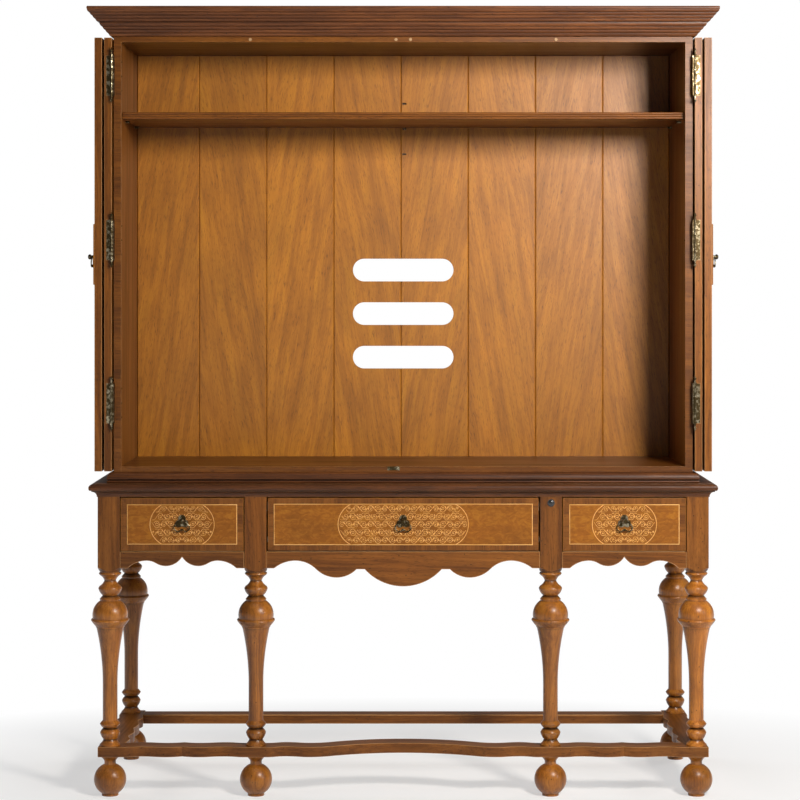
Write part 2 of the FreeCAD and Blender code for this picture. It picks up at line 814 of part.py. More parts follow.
def stand_rails():
    """Scalloped end rails and the plain back rail that close the drawer part of the stand."""
    y0, y1 = front_leg_y + post_half, back_leg_y - post_half
    outer = stand_half - end_rail_setback
    outline = Outline(side(outer), y0, board_under).line(y0, apron_top - apron_end_drop)
    scalloped_edge(outline, (y0 + y1) / 2.0, (y1 - y0) / 2.0)
    end = outline.line(y1, board_under).close().face().extrude(vec(-end_rail_thickness, 0, 0))
    reach = outer_leg_offset - post_half
    back = block(-reach, reach, back_rail_front, back_rail_front + back_rail_thickness,
                 board_under - back_rail_drop, board_under)
    return pair(end) + [back]


def drawer_partitions():
    """Upright boards from the inner front posts to the back rail."""
    half = partition_thickness / 2.0
    low = apron_top - runner_thickness
    return pair(block(inner_leg_offset - half, inner_leg_offset + half, front_leg_y + post_half,
                      back_rail_front, low, board_under))


def drawer_runners():
    """Runners with a guide under the drawer sides, kickers over them, notched round the posts."""
    runner_top = drawer_box_under - drawer_running_gap
    runner_front = apron_front + apron_thickness
    kicker_under = board_under - kicker_height
    box_top = drawer_box_under + drawer_box_height
    end_face = stand_half - end_rail_setback - end_rail_thickness
    half = partition_thickness / 2.0
    side_box_half = side_drawer_half() - drawer_box_inset + drawer_guide_gap
    mid_box_half = flap_half() - drawer_box_inset + flap_hinge_thickness + drawer_guide_gap
    spans = [(inner_leg_offset - half, -1.0, mid_box_half),
             (inner_leg_offset + half, 1.0, side_bay_middle - side_box_half),
             (end_face, -1.0, side_bay_middle + side_box_half)]
    posts = [square_post(inner_leg_offset, front_leg_y, 0.0, stand_height),
             square_post(outer_leg_offset, front_leg_y, 0.0, stand_height),
             square_post(outer_leg_offset, back_leg_y, 0.0, stand_height)]
    pieces = []
    for wall, way, guide in spans:
        runner = block(wall, wall + way * runner_width, runner_front, back_rail_front,
                       runner_top - runner_thickness, runner_top)
        upstand = block(wall, guide, runner_front, back_rail_front, runner_top,
                        runner_top + guide_height)
        over = guide + way * (flap_hinge_thickness + 2.0 * drawer_guide_gap)
        kicker = block(over, over + way * kicker_width, runner_front, back_rail_front,
                       max(kicker_under, box_top + drawer_running_gap), board_under)
        for piece in (joined([runner, upstand]), kicker):
            for post in posts:
                piece = piece.cut(post)
            pieces += pair(piece)
    return pieces


def ir_eye():
    """Remote-control receiver: a bezel and a dome on the right inner post."""
    z = board_under - eye_rise
    outer = eye_radius
    lens = eye_radius - eye_bezel_width
    along = lambda r, out: vec(inner_leg_offset + r, post_front - out, z)
    shape = Outline(along, 0.0, 0.0).line(outer, 0.0).line(outer, eye_bezel_height)
    shape.line(lens, eye_bezel_height).ease(0.0, eye_dome_height, False).close()
    centre = vec(inner_leg_offset, post_front, z)
    return [shape.face().revolve(centre, vec(0, 1, 0), 360)]


# ---------------------------------------------------------------- pulls
def pull_plate():
    """Three-lobed back plate, post and knob of a pull, on the plane Y=0, with the bail's eye."""
    spread = pull_plate_spread
    drop = spread * math.sqrt(3.0) / 2.0
    lobes = [(0.0, spread / 2.0 + bail_shoulder_radius), (-spread, -drop), (spread, -drop)]
    plates = [rod(vec(x, 0, z), vec(0, -1, 0), pull_plate_radius, pull_plate_thickness)
              for x, z in lobes]
    post = rod(vec(), vec(0, -1, 0), pull_post_radius, pull_post_length)
    knob = Outline(lambda r, out: vec(r, -out, 0), 0.0, pull_post_length)
    knob.line(pull_post_radius, pull_post_length)
    knob_out = pull_post_length + pull_knob_length
    knob.ease(pull_knob_radius, pull_post_length + pull_knob_belly, True)
    knob.arc(pull_knob_face_radius, knob_out, -pull_knob_bulge)
    knob.line(0.0, knob_out).close()
    solid = joined(plates + [post, knob.face().revolve(vec(), vec(0, 1, 0), 360)])
    eye = rod(vec(-pull_knob_radius, -pull_axis_out, 0), vec(1, 0, 0), pull_eye_radius,
              2.0 * pull_knob_radius)
    return solid.cut(eye)


def bail():
    """Kidney-shaped drop bail with a bud, hanging from its eye at the origin of the pull."""
    plane = front(-pull_axis_out)
    shoulder = (bail_shoulder_x, -bail_shoulder_radius)
    lobe = (bail_lobe_x, -bail_lobe_drop)
    gap_x, gap_z = lobe[0] - shoulder[0], lobe[1] - shoulder[1]
    distance = math.hypot(gap_x, gap_z)
    heading = math.atan2(gap_z, gap_x)
    outward = heading + math.acos((bail_shoulder_radius - bail_lobe_radius) / distance)

    def on(centre, radius, angle):
        return (centre[0] + radius * math.cos(angle), centre[1] + radius * math.sin(angle))

    notch_reach = bail_lobe_radius + bail_notch_radius
    notch = (0.0, lobe[1] - math.sqrt(notch_reach ** 2 - lobe[0] ** 2))
    to_notch = math.atan2(notch[1] - lobe[1], notch[0] - lobe[0]) + 2.0 * math.pi
    edges = []
    for way in (1.0, -1.0):
        def at(point):
            return plane(way * point[0], point[1])
        top = on(shoulder, bail_shoulder_radius, math.pi / 2.0)
        leave = on(shoulder, bail_shoulder_radius, outward)
        turn = on(shoulder, bail_shoulder_radius, (math.pi / 2.0 + outward) / 2.0)
        meet = on(lobe, bail_lobe_radius, outward)
        far = on(lobe, bail_lobe_radius, (outward + to_notch - 2.0 * math.pi) / 2.0)
        leave_lobe = on(lobe, bail_lobe_radius, to_notch)
        edges.append(Part.LineSegment(at((bail_pin_start, 0.0)), at(top)).toShape())
        edges.append(Part.Arc(at(top), at(turn), at(leave)).toShape())
        edges.append(Part.LineSegment(at(leave), at(meet)).toShape())
        edges.append(Part.Arc(at(meet), at(far), at(leave_lobe)).toShape())
        last = leave_lobe
    top_of_notch = plane(0.0, notch[1] + bail_notch_radius)
    edges.append(Part.Arc(plane(last[0], last[1]), top_of_notch, plane(-last[0], last[1])).toShape())
    path = Part.Wire(Part.__sortEdges__(edges))
    ring = Part.Circle(plane(bail_pin_start, 0.0), vec(1, 0, 0), bail_wire_radius).toShape()
    wire = path.makePipeShell([Part.Wire([ring])], True, False)
    bud = Part.makeSphere(bail_bud_radius, top_of_notch - vec(0, 0, bail_wire_radius))
    return joined([wire, bud])


def placed(shape, x, y, z):
    """A copy of a shape, moved."""
    copy = shape.copy()
    copy.translate(vec(x, y, z))
    return copy


# ---------------------------------------------------------------- drawers
def drawer_front(x, half):
    """Flush drawer front for a bay about x."""
    return block(x - half, x + half, drawer_face, drawer_box_front, drawer_bottom, drawer_top)


def drawer_box(x, half, front_y, with_front):
    """Sides, back, bottom and perhaps an inner front of a drawer, as separate boards."""
    wall, low = drawer_box_wall, drawer_box_under
    high = low + drawer_box_height
    back = drawer_box_front + drawer_box_length
    bottom_low = low + drawer_bottom_rise
    bottom_high = bottom_low + drawer_bottom_thickness
    groove = wall / 2.0
    boards = []
    bottom = block(x - half + groove, x + half - groove, front_y, back, bottom_low, bottom_high)
    for way in (-1.0, 1.0):
        outer = x + way * half
        boards.append(block(outer, outer - way * wall, front_y, back, low, high).cut(bottom))
    inner = half - wall
    boards.append(block(x - inner, x + inner, back - wall, back, bottom_high, high))
    if with_front:
        boards.append(block(x - inner, x + inner, front_y, front_y + wall, bottom_high, high))
    return boards + [bottom]


def side_drawer_half():
    """Half the width of an outer drawer's front."""
    return side_bay_half - drawer_side_gap


def flap_half():
    """Half the width of the middle drawer's drop front."""
    return mid_bay_half - flap_side_gap


def flap_axis():
    """Where the drop front turns, as (Y, Z)."""
    return drawer_face + flap_pivot_inset, drawer_bottom + flap_pivot_inset


def flap_hinge_x():
    """Middle of the right pivot hinge, across the drawer."""
    return flap_half() - drawer_box_inset + flap_hinge_thickness / 2.0


def flap():
    """Drop front with a rounded lower edge, cut for its pivot hinges."""
    y, z = flap_axis()
    r = flap_pivot_inset
    section = Outline(side(-flap_half()), drawer_face, drawer_top).line(drawer_face, z)
    chord = r * math.sqrt(2.0)
    section.arc(y, drawer_bottom, r - chord / 2.0)
    section.line(drawer_box_front, drawer_bottom).line(drawer_box_front, drawer_top).close()
    board = section.face().extrude(vec(2.0 * flap_half(), 0, 0))
    reach = flap_hinge_thickness / 2.0 + flap_hinge_gap
    high = flap_hinge_height / 2.0 + flap_hinge_gap
    bore = flap_pin_radius + flap_pin_clearance
    for way in (-1.0, 1.0):
        x = way * flap_hinge_x()
        slot = block(x - reach, x + reach, y - high, drawer_box_front + flap_back_gap,
                     drawer_bottom - flap_back_gap, z + high)
        notch = block(x - reach, x + reach, drawer_face - flap_back_gap, y,
                      drawer_bottom - flap_back_gap, z)
        start = vec(x - way * flap_pin_length, y, z)
        hole = rod(start, vec(way, 0, 0), bore, 2.0 * flap_pin_length)
        board = board.cut(slot).cut(notch).cut(hole)
    return board


def flap_hinges():
    """Brass pivot hinges: a plate on each side of the drawer with a pin through its nose."""
    y, z = flap_axis()
    half = flap_hinge_height / 2.0
    x0 = flap_hinge_x() - flap_hinge_thickness / 2.0
    low, high = drawer_box_under, drawer_box_under + flap_hinge_plate_height
    start = drawer_box_front + flap_back_gap
    nose = rod(vec(x0, y, z), vec(1, 0, 0), half, flap_hinge_thickness)
    neck = block(x0, x0 + flap_hinge_thickness, y, start + flap_hinge_crank, z, z + half)
    crank = block(x0, x0 + flap_hinge_thickness, start, start + flap_hinge_crank, z, high)
    plate = block(x0, x0 + flap_hinge_thickness, start, start + flap_hinge_length, low, high)
    reach = flap_pin_length - flap_pin_end_gap
    pin = rod(vec(flap_hinge_x() - reach, y, z), vec(1, 0, 0), flap_pin_radius, 2.0 * reach)
    pin = pin.common(block(0.0, flap_half(), y - half, y + half, z - half, z + half))
    return pair(joined([nose, neck, crank, plate, pin]))


def flap_catches():
    """Nylon blocks on the sides of the middle drawer: catches at the drop front's upper corners
    and stops near its lower ones."""
    x0 = flap_half() - drawer_box_inset
    x1 = mid_bay_half - drawer_running_gap
    y0 = drawer_box_front + flap_back_gap
    high = drawer_top - catch_block_drop
    box_high = drawer_box_under + drawer_box_height
    low = high - catch_block_height
    tab = block(x0, x1, y0, y0 + catch_block_depth, low, high)
    tail_low = min(low, box_high) - catch_block_height / 2.0
    tail = block(x0, x0 + flap_side_gap, y0, y0 + catch_block_depth, tail_low, low)
    stop_low = drawer_bottom + stay_block_rise
    stop = block(x0, x1, y0, y0 + catch_block_depth, stop_low, stop_low + stay_block_height)
    return pair(joined([tab, tail])) + pair(stop)


# ---------------------------------------------------------------- case
def hinge_mortises():
    """Shallow cuts for the case hinges in the right side's outer face, with their bolt holes."""
    cuts = []
    for z in hinge_zs:
        half = hinge_plate_height / 2.0
        cuts.append(block(case_half - hinge_plate_thickness, case_half + hinge_plate_thickness,
                          case_front - hinge_plate_reach, hinge_axis_y + hinge_plate_reach,
                          z - half, z + half))
        for shift in (-hinge_bolt_pitch, 0.0, hinge_bolt_pitch):
            start = vec(inner_half - hinge_cap_height, case_front + hinge_bolt_inset, z + shift)
            cuts.append(rod(start, vec(1, 0, 0), hinge_bolt_radius + hinge_bolt_play,
                            panel_thickness + 2.0 * hinge_cap_height))
    return cuts


def shelf_pin_bores():
    """Holes for the shelf pins in the right side."""
    z = shelf_under - shelf_pin_radius
    radius = shelf_pin_radius + shelf_pin_play
    return [rod(vec(inner_half, case_front + y, z), vec(1, 0, 0), radius, shelf_pin_depth)
            for y in (shelf_pin_front, shelf_pin_back)]


def case_side():
    """Right side panel, housed for floor and top, mortised for the hinges."""
    panel = block(inner_half, case_half, case_front, back_y, stand_height,
                  cornice_top - deck_drop - deck_thickness)
    cuts = hinge_mortises() + shelf_pin_bores() + case_boards() + case_lipping()
    for cut in cuts:
        panel = panel.cut(cut)
    return panel


def case_boards():
    """Case floor and top, let into the sides."""
    reach = inner_half + housing_depth
    start = case_front + lipping_depth
    return [block(-reach, reach, start, back_y, floor_z - panel_thickness, floor_z),
            block(-reach, reach, start, back_y, ceiling_z, ceiling_z + panel_thickness)]


def case_lipping():
    """Solid edges round the opening: two stiles and a top rail mitred together, and a sill."""
    y0, y1 = case_front, case_front + lipping_depth
    top = ceiling_z + panel_thickness
    stile = Outline(front(y0), inner_half, stand_height).line(case_half, stand_height)
    stile.line(case_half, top).line(inner_half, ceiling_z).close()
    stile = stile.face().extrude(vec(0, lipping_depth, 0))
    for cut in hinge_mortises():
        stile = stile.cut(cut)
    rail = Outline(front(y0), -inner_half, ceiling_z).line(inner_half, ceiling_z)
    rail.line(case_half, top).line(-case_half, top).close()
    rail = rail.face().extrude(vec(0, lipping_depth, 0))
    sill = block(-inner_half, inner_half, y0, y1, stand_height, floor_z).cut(door_catch_body())
    return pair(stile) + [rail, sill]


def door_catch_body():
    """Pocket of the ball catch in the sill."""
    return block(-catch_offset - catch_width / 2.0, -catch_offset + catch_width / 2.0,
                 case_front - catch_stand, case_front + catch_depth, floor_z - catch_height,
                 floor_z)


def door_catch():
    """Double ball catch in the sill, with its two balls."""
    body = door_catch_body()
    z = floor_z - catch_height / 2.0
    shift = catch_width / 2.0 - 2.0 * catch_ball_radius
    ball_y = case_front - 2.0 * catch_stand + catch_ball_radius
    balls = [Part.makeSphere(catch_ball_radius, vec(-catch_offset + way * shift, ball_y, z))
             for way in (-1.0, 1.0)]
    return [joined([body] + balls)]


def back_boards():
    """Tongued boards with V-joints, the middle ones cut for the cable slots and support pins."""
    width = 2.0 * inner_half / back_board_count
    play = back_board_play / 2.0
    y0, y1 = back_face_y, back_face_y + back_board_thickness
    tongue0 = (y0 + y1) / 2.0 - back_board_tongue / 2.0
    tongue1 = tongue0 + back_board_tongue
    cuts = cable_slots() + centre_pin_bores()
    boards = []
    for index in range(back_board_count):
        x0 = -inner_half + index * width + play
        x1 = x0 + width - 2.0 * play
        shape = Outline(plan(floor_z), x0 + back_board_groove, y0).line(x1 - back_board_groove, y0)
        shape.line(x1, y0 + back_board_groove)
        if index < back_board_count - 1:
            shape.line(x1, tongue0).line(x1 + back_board_tongue_length, tongue0)
            shape.line(x1 + back_board_tongue_length, tongue1).line(x1, tongue1)
        shape.line(x1, y1).line(x0, y1)
        if index > 0:
            deep = x0 + back_board_tongue_length
            shape.line(x0, tongue1 + play).line(deep, tongue1 + play)
            shape.line(deep, tongue0 - play).line(x0, tongue0 - play)
        shape.line(x0, y0 + back_board_groove).close()
        board = shape.face().extrude(vec(0, 0, opening_height))
        for cut in cuts:
            if cut.BoundBox.XMin < x1 + back_board_tongue_length and cut.BoundBox.XMax > x0:
                board = board.cut(cut)
        boards.append(board)
    return boards


def cable_slots():
    """Round-ended cutters for the cable slots."""
    y0 = back_face_y - back_board_thickness
    depth = back_face_y + 2.0 * back_board_thickness - y0
    half = slot_length / 2.0
    round_end = slot_height / 2.0
    slots = []
    for index in range(slot_count):
        z = floor_z + lowest_slot_rise + index * slot_pitch
        shape = Outline(front(y0), -half + round_end, z - round_end)
        shape.line(half - round_end, z - round_end).arc(half - round_end, z + round_end, -round_end)
        shape.line(-half + round_end, z + round_end)
        shape.arc(-half + round_end, z - round_end, -round_end)
        slots.append(shape.face().extrude(vec(0, depth, 0)))
    return slots


def centre_pin_zs():
    """Heights of the holes for the shelf's middle support."""
    middle = shelf_under - shelf_pin_radius
    return [middle + (index - 1) * centre_pin_pitch for index in range(centre_pin_holes)]


def centre_pin_bores():
    """Holes up the back for the shelf's middle support, beside the middle joint."""
    radius = shelf_pin_radius + shelf_pin_play
    return [rod(vec(2.0 * shelf_pin_radius, back_face_y, z), vec(0, 1, 0), radius, shelf_pin_depth)
            for z in centre_pin_zs()]


def back_battens():
    """Rails behind the back boards, clear of the cable slots."""
    y0 = back_face_y + back_board_thickness
    top_slot = floor_z + lowest_slot_rise + (slot_count - 1) * slot_pitch + slot_height / 2.0
    lows = (floor_z, (top_slot + ceiling_z) / 2.0 - batten_height / 2.0, ceiling_z - batten_height)
    return [block(-inner_half, inner_half, y0, y0 + batten_thickness, low, low + batten_height)
            for low in lows]


def shelf():
    """Fixed-height shelf with a reeded front edge."""
    x = inner_half - shelf_side_gap
    y0, y1 = case_front + shelf_setback, back_face_y - shelf_back_gap
    z0 = shelf_under
    step = shelf_thickness / shelf_bead_count
    shape = Outline(side(-x), y1, z0).line(y0, z0)
    for index in range(shelf_bead_count):
        shape.arc(y0, z0 + (index + 1) * step, shelf_bead_bulge)
    shape.line(y1, z0 + shelf_thickness).close()
    return [shape.face().extrude(vec(2.0 * x, 0, 0))]


def shelf_pins():
    """Brass pins that carry the shelf: four in the sides and one in the back."""
    z = shelf_under - shelf_pin_radius
    pins = []
    for y in (shelf_pin_front, shelf_pin_back):
        start = vec(inner_half - shelf_pin_length, case_front + y, z)
        pins += pair(rod(start, vec(1, 0, 0), shelf_pin_radius, shelf_pin_length + shelf_pin_depth))
    start = vec(2.0 * shelf_pin_radius, back_face_y - shelf_pin_length, z)
    pins.append(rod(start, vec(0, 1, 0), shelf_pin_radius, shelf_pin_length + shelf_pin_depth))
    return pins


def cornice():
    """Crown moulding of two reeded tiers, mitred at the front corners."""
    def profile(plane):
        low, high = cornice_bottom, cornice_top
        slope_out = cornice_projection - cornice_fascia_bulge - cornice_foot - cornice_step_out
        slope_up = cornice_height - cornice_fascia_height - cornice_step_height
        shape = Outline(plane, 0.0, low).line(cornice_foot, low)
        out, z = cornice_foot, low
        for share in (cornice_step_share, 1.0 - cornice_step_share):
            for _ in range(cornice_reeds):
                out += slope_out * share / cornice_reeds
                z += slope_up * share / cornice_reeds
                shape.arc(out, z, -reed_bulge)
            if share == cornice_step_share:
                z += cornice_step_height
                shape.line(out, z)
                out += cornice_step_out
                shape.line(out, z)
        shape.arc(out, high, -cornice_fascia_bulge)
        return shape.line(0.0, high).close()
    front_run, right_run = mitred_runs(profile, case_half, case_front, cornice_projection)
    return [front_run] + pair(right_run)


def waist_moulding():
    """Moulding round the foot of the case."""
    def profile(plane):
        low, high = stand_height, stand_height + waist_height
        out = waist_projection
        base = low + waist_base_height
        groove = base + waist_groove_height
        land = groove + waist_land_height
        shape = Outline(plane, 0.0, low).line(out - waist_base_bulge, low)
        shape.arc(out - waist_base_bulge, base, -waist_base_bulge)
        shape.line(out - waist_groove_depth, (base + groove) / 2.0)
        shape.line(out, groove).line(out, land)
        shape.arc(waist_top_out, high, -waist_ogee_bulge)
        return shape.line(0.0, high).close()
    front_run, right_run = mitred_runs(profile, case_half, case_front, waist_projection)
    return [front_run] + pair(right_run)


def case_top():
    """Top of the case, the frieze board behind the cornice and the dust board over it."""
    deck_top = cornice_top - deck_drop
    deck_low = deck_top - deck_thickness
    top_board = case_boards()[1]
    frieze = block(-inner_half, inner_half, case_front, case_front + frieze_thickness,
                   ceiling_z + panel_thickness, deck_low)
    deck = block(-case_half, case_half, case_front, back_y, deck_low, deck_top)
    return [top_board, frieze, deck]


def door_bumpers():
    """Felt buttons under the cornice that the closed leaves touch."""
    z = ceiling_z + top_rail_show / 2.0
    buttons = []
    for x in bumper_xs:
        buttons += pair(rod(vec(x, case_front, z), vec(0, -1, 0), bumper_radius, bumper_thickness))
    return buttons


# ---------------------------------------------------------------- doors
# Leaves are drawn closed, on the right, and then swung into the folded-back position.
def swung(shape, pivot_x, pivot_y, angle):
    """A copy of a shape, turned about a vertical axis."""
    copy = shape.copy()
    copy.rotate(vec(pivot_x, pivot_y, 0), vec(0, 0, 1), angle)
    return copy


def opened(shape):
    """Outer leaf's piece, from closed to open."""
    return swung(shape, hinge_axis_x, hinge_axis_y, door_open_angle)


def folded(shape):
    """Inner leaf's piece, from closed to folded and open."""
    return opened(swung(shape, fold_axis_x, fold_axis_y, -leaf_fold_angle))


def knuckle(x, y, radius, pin, z0, z1):
    """Tube of a hinge round a pin."""
    tube = rod(vec(x, y, z0), vec(0, 0, 1), radius, z1 - z0)
    return tube.cut(rod(vec(x, y, z0), vec(0, 0, 1), pin + hinge_pin_clearance, z1 - z0))


def thirds(z, height):
    """Lower, middle and upper knuckles of a hinge, as (low, high), a gap apart."""
    part = height / 3.0
    low = z - height / 2.0
    gap = hinge_knuckle_gap / 2.0
    return [(low, low + part - gap), (low + part + gap, low + 2.0 * part - gap),
            (low + 2.0 * part + gap, low + height)]


def case_hinge_plates():
    """Case half of each door hinge: a plate let into the side, with the two end knuckles."""
    pieces = []
    for z in hinge_zs:
        lows = thirds(z, hinge_plate_height)
        half = hinge_plate_height / 2.0
        plate = block(case_half - hinge_plate_thickness, case_half, hinge_axis_y,
                      hinge_axis_y + hinge_plate_reach, z - half, z + half)
        middle = block(case_half - hinge_plate_reach, case_half + hinge_plate_reach,
                       hinge_axis_y - hinge_plate_reach, leaf_outer_face + hinge_notch_gap,
                       lows[1][0] - hinge_knuckle_gap, lows[1][1] + hinge_knuckle_gap)
        plate = plate.cut(middle)
        for shift in (-hinge_bolt_pitch, 0.0, hinge_bolt_pitch):
            start = vec(inner_half, case_front + hinge_bolt_inset, z + shift)
            plate = plate.cut(rod(start, vec(1, 0, 0), hinge_bolt_radius + hinge_bolt_play,
                                  2.0 * panel_thickness))
        tubes = []
        for z0, z1 in (lows[0], lows[2]):
            web = block(case_half - hinge_plate_thickness, case_half + hinge_plate_grip,
                        hinge_axis_y - hinge_plate_grip, hinge_axis_y + hinge_plate_grip, z0, z1)
            bore = rod(vec(hinge_axis_x, hinge_axis_y, z0), vec(0, 0, 1),
                       hinge_pin_radius + hinge_pin_clearance, z1 - z0)
            tubes.append(web.cut(bore))
            tubes.append(knuckle(hinge_axis_x, hinge_axis_y, hinge_barrel_radius,
                                 hinge_pin_radius, z0, z1))
        pieces += pair(joined([plate] + tubes))
    return pieces


def finial_pin(z):
    """Hinge pin with a turned finial at each end."""
    half = hinge_plate_height / 2.0 + hinge_knuckle_gap / 2.0
    shape = Outline(lambda r, h: vec(r, 0, z + h), 0.0, 0.0).line(hinge_pin_radius, 0.0)
    shape.line(hinge_pin_radius, half).line(finial_ring_radius, half)
    height = half + finial_ring_height
    shape.line(finial_ring_radius, height).line(finial_neck_radius, height)
    shape.line(finial_neck_radius, height + finial_neck_height)
    height += finial_neck_height
    shape.arc(finial_neck_radius, height + finial_bead_height,
              2.0 * (finial_neck_radius - finial_bead_radius))
    height += finial_bead_height
    shape.line(0.0, height + finial_tip_height).close()
    upper = shape.face().revolve(vec(), vec(0, 0, 1), 360)
    lower = upper.mirror(vec(0, 0, z), vec(0, 0, 1))
    pin = joined([upper, lower])
    pin.translate(vec(hinge_axis_x, hinge_axis_y, 0))
    return pin


def hinge_bolts():
    """Bolts through the case's sides with a round cap inside."""
    bolts = []
    for z in hinge_zs:
        for shift in (-hinge_bolt_pitch, 0.0, hinge_bolt_pitch):
            y = case_front + hinge_bolt_inset
            start = vec(inner_half, y, z + shift)
            shank = rod(start, vec(1, 0, 0), hinge_bolt_radius, panel_thickness)
            cap = Outline(lambda r, out: vec(inner_half - out, y, z + shift + r), 0.0, 0.0)
            cap.line(hinge_cap_radius, 0.0).ease(0.0, hinge_cap_height, False).close()
            cap = cap.face().revolve(start, vec(1, 0, 0), 360)
            bolts += pair(joined([shank, cap]))
    return bolts


def case_hinge_fasteners():
    """Pins and bolts of the six door hinges."""
    pins = []
    for z in hinge_zs:
        pins += pair(finial_pin(z))
    return pins + hinge_bolts()


def leaf_plate_solid(z):
    """Outer leaf's half of a door hinge, closed: edge plate, cranked web and middle knuckle."""
    z0, z1 = thirds(z, hinge_plate_height)[1]
    half = hinge_plate_height / 2.0
    plate = block(leaf_hinge_edge - hinge_plate_thickness, leaf_hinge_edge, leaf_outer_face,
                  leaf_outer_face + hinge_leaf_plate_width, z - half, z + half)
    web_low = hinge_axis_y - hinge_plate_grip / 2.0
    web = block(leaf_hinge_edge - hinge_plate_thickness, hinge_axis_x, web_low,
                leaf_outer_face + hinge_notch_gap / 2.0, z0, z1)
    bore = rod(vec(hinge_axis_x, hinge_axis_y, z0), vec(0, 0, 1),
               hinge_pin_radius + hinge_pin_clearance, z1 - z0)
    tube = knuckle(hinge_axis_x, hinge_axis_y, hinge_barrel_radius, hinge_pin_radius, z0, z1)
    return joined([plate, web.cut(bore), tube])


def fold_plate(z, way, ends):
    """One half of a hinge between the leaves, closed; way is +1 on the outer leaf."""
    edge = fold_axis_x + way * fold_edge_gap / 2.0
    half = fold_plate_height / 2.0
    plate = block(edge, edge + way * fold_plate_thickness, leaf_inner_face - fold_plate_width,
                  leaf_inner_face, z - half, z + half)
    shapes = [plate]
    spans = thirds(z, fold_plate_height)
    for z0, z1 in ((spans[0], spans[2]) if ends else (spans[1],)):
        web = block(edge, edge + way * fold_plate_thickness, leaf_inner_face, fold_axis_y, z0, z1)
        bore = rod(vec(fold_axis_x, fold_axis_y, z0), vec(0, 0, 1),
                   fold_pin_radius + hinge_pin_clearance, z1 - z0)
        shapes.append(web.cut(bore))
        shapes.append(knuckle(fold_axis_x, fold_axis_y, fold_barrel_radius, fold_pin_radius,
                              z0, z1))
    return joined(shapes)


def outer_leaf():
    """Outer leaf of the right pair, closed, cut for its hinge plates."""
    edge = fold_axis_x + fold_edge_gap / 2.0
    board = block(edge, leaf_hinge_edge, leaf_outer_face, leaf_inner_face, door_bottom, door_top)
    for z in hinge_zs:
        board = board.cut(leaf_plate_solid(z)).cut(fold_plate(z, 1.0, True))
    return board


def inner_leaf():
    """Inner leaf of the right pair, closed, cut for its hinge plates."""
    edge = fold_axis_x - fold_edge_gap / 2.0
    board = block(door_meeting_gap / 2.0, edge, leaf_outer_face, leaf_inner_face, door_bottom,
                  door_top)
    for z in hinge_zs:
        board = board.cut(fold_plate(z, -1.0, False))
    return board


def outer_leaf_hinges():
    """Hinge halves on the outer leaf, with the pins of the hinges between the leaves."""
    pieces = []
    for z in hinge_zs:
        start = vec(fold_axis_x, fold_axis_y, z - fold_plate_height / 2.0)
        pieces.append(leaf_plate_solid(z))
        pieces.append(fold_plate(z, 1.0, True))
        pieces.append(rod(start, vec(0, 0, 1), fold_pin_radius, fold_plate_height))
    return pieces


def inner_leaf_hinges():
    """Hinge halves on the inner leaf."""
    return [fold_plate(z, -1.0, False) for z in hinge_zs]


def plaque():
    """Half of the round raised medallion, on the outer face of an inner leaf, closed."""
    disc = rod(vec(0, leaf_outer_face, plaque_z), vec(0, -1, 0), plaque_radius,
               plaque_thickness - plaque_bevel)
    rim_y = leaf_outer_face - plaque_thickness + plaque_bevel
    rim = Part.makeCone(plaque_radius, plaque_radius - plaque_bevel, plaque_bevel,
                        vec(0, rim_y, plaque_z), vec(0, -1, 0))
    half_zone = block(door_meeting_gap / 2.0, case_half, case_front - case_depth, back_y,
                      door_bottom, door_top)
    return joined([disc, rim]).common(half_zone)


def door_pull_place(shape):
    """A pull's piece on the right plaque, closed."""
    return placed(shape, door_pull_inset + door_meeting_gap / 2.0,
                  leaf_outer_face - plaque_thickness, door_pull_z)


# ---------------------------------------------------------------- the whole piece of furniture
def stand_nodes():
    """Nodes of the stand, without its drawers."""
    places = {
        "leg_front_left": (-outer_leg_offset, front_leg_y),
        "leg_front_mid_left": (-inner_leg_offset, front_leg_y),
        "leg_front_mid_right": (inner_leg_offset, front_leg_y),
        "leg_front_right": (outer_leg_offset, front_leg_y),
        "leg_back_left": (-outer_leg_offset, back_leg_y),
        "leg_back_right": (outer_leg_offset, back_leg_y),
    }
    nodes = {name: [leg(x, y)] for name, (x, y) in places.items()}
    nodes["ball_feet"] = [ball_foot(x, y) for x, y in places.values()]
    nodes["stretchers_front"] = front_stretchers()
    nodes["stretcher_back"] = back_stretcher()
    nodes["stretchers_side"] = side_stretchers()
    nodes["stand_top"] = stand_top()
    nodes["aprons_side"] = side_aprons()
    nodes["apron_middle"] = middle_apron()
    nodes["stand_rails"] = stand_rails()
    nodes["drawer_partitions"] = drawer_partitions()
    nodes["drawer_runners"] = drawer_runners()
    nodes["ir_eye"] = ir_eye()
    return nodes


def drawer_nodes():
    """Nodes of the three drawers and their pulls."""
    nodes = {}
    half = side_drawer_half()
    box_half = half - drawer_box_inset
    for name, x in (("left", -side_bay_middle), ("right", side_bay_middle)):
        nodes["drawer_%s_front" % name] = [drawer_front(x, half)]
        nodes["drawer_%s_box" % name] = drawer_box(x, box_half, drawer_box_front, True)
        nodes["drawer_%s_pull" % name] = [placed(pull_plate(), x, drawer_face, drawer_pull_z)]
        nodes["drawer_%s_bail" % name] = [placed(bail(), x, drawer_face, drawer_pull_z)]
    start = drawer_box_front + flap_back_gap
    nodes["drawer_middle_flap"] = [flap()]
    nodes["drawer_middle_box"] = drawer_box(0.0, flap_half() - drawer_box_inset, start, False)
    nodes["drawer_middle_hinges"] = flap_hinges()
    nodes["drawer_middle_catches"] = flap_catches()
    nodes["drawer_middle_pull"] = [placed(pull_plate(), 0.0, drawer_face, drawer_pull_z)]
    nodes["drawer_middle_bail"] = [placed(bail(), 0.0, drawer_face, drawer_pull_z)]
    return nodes


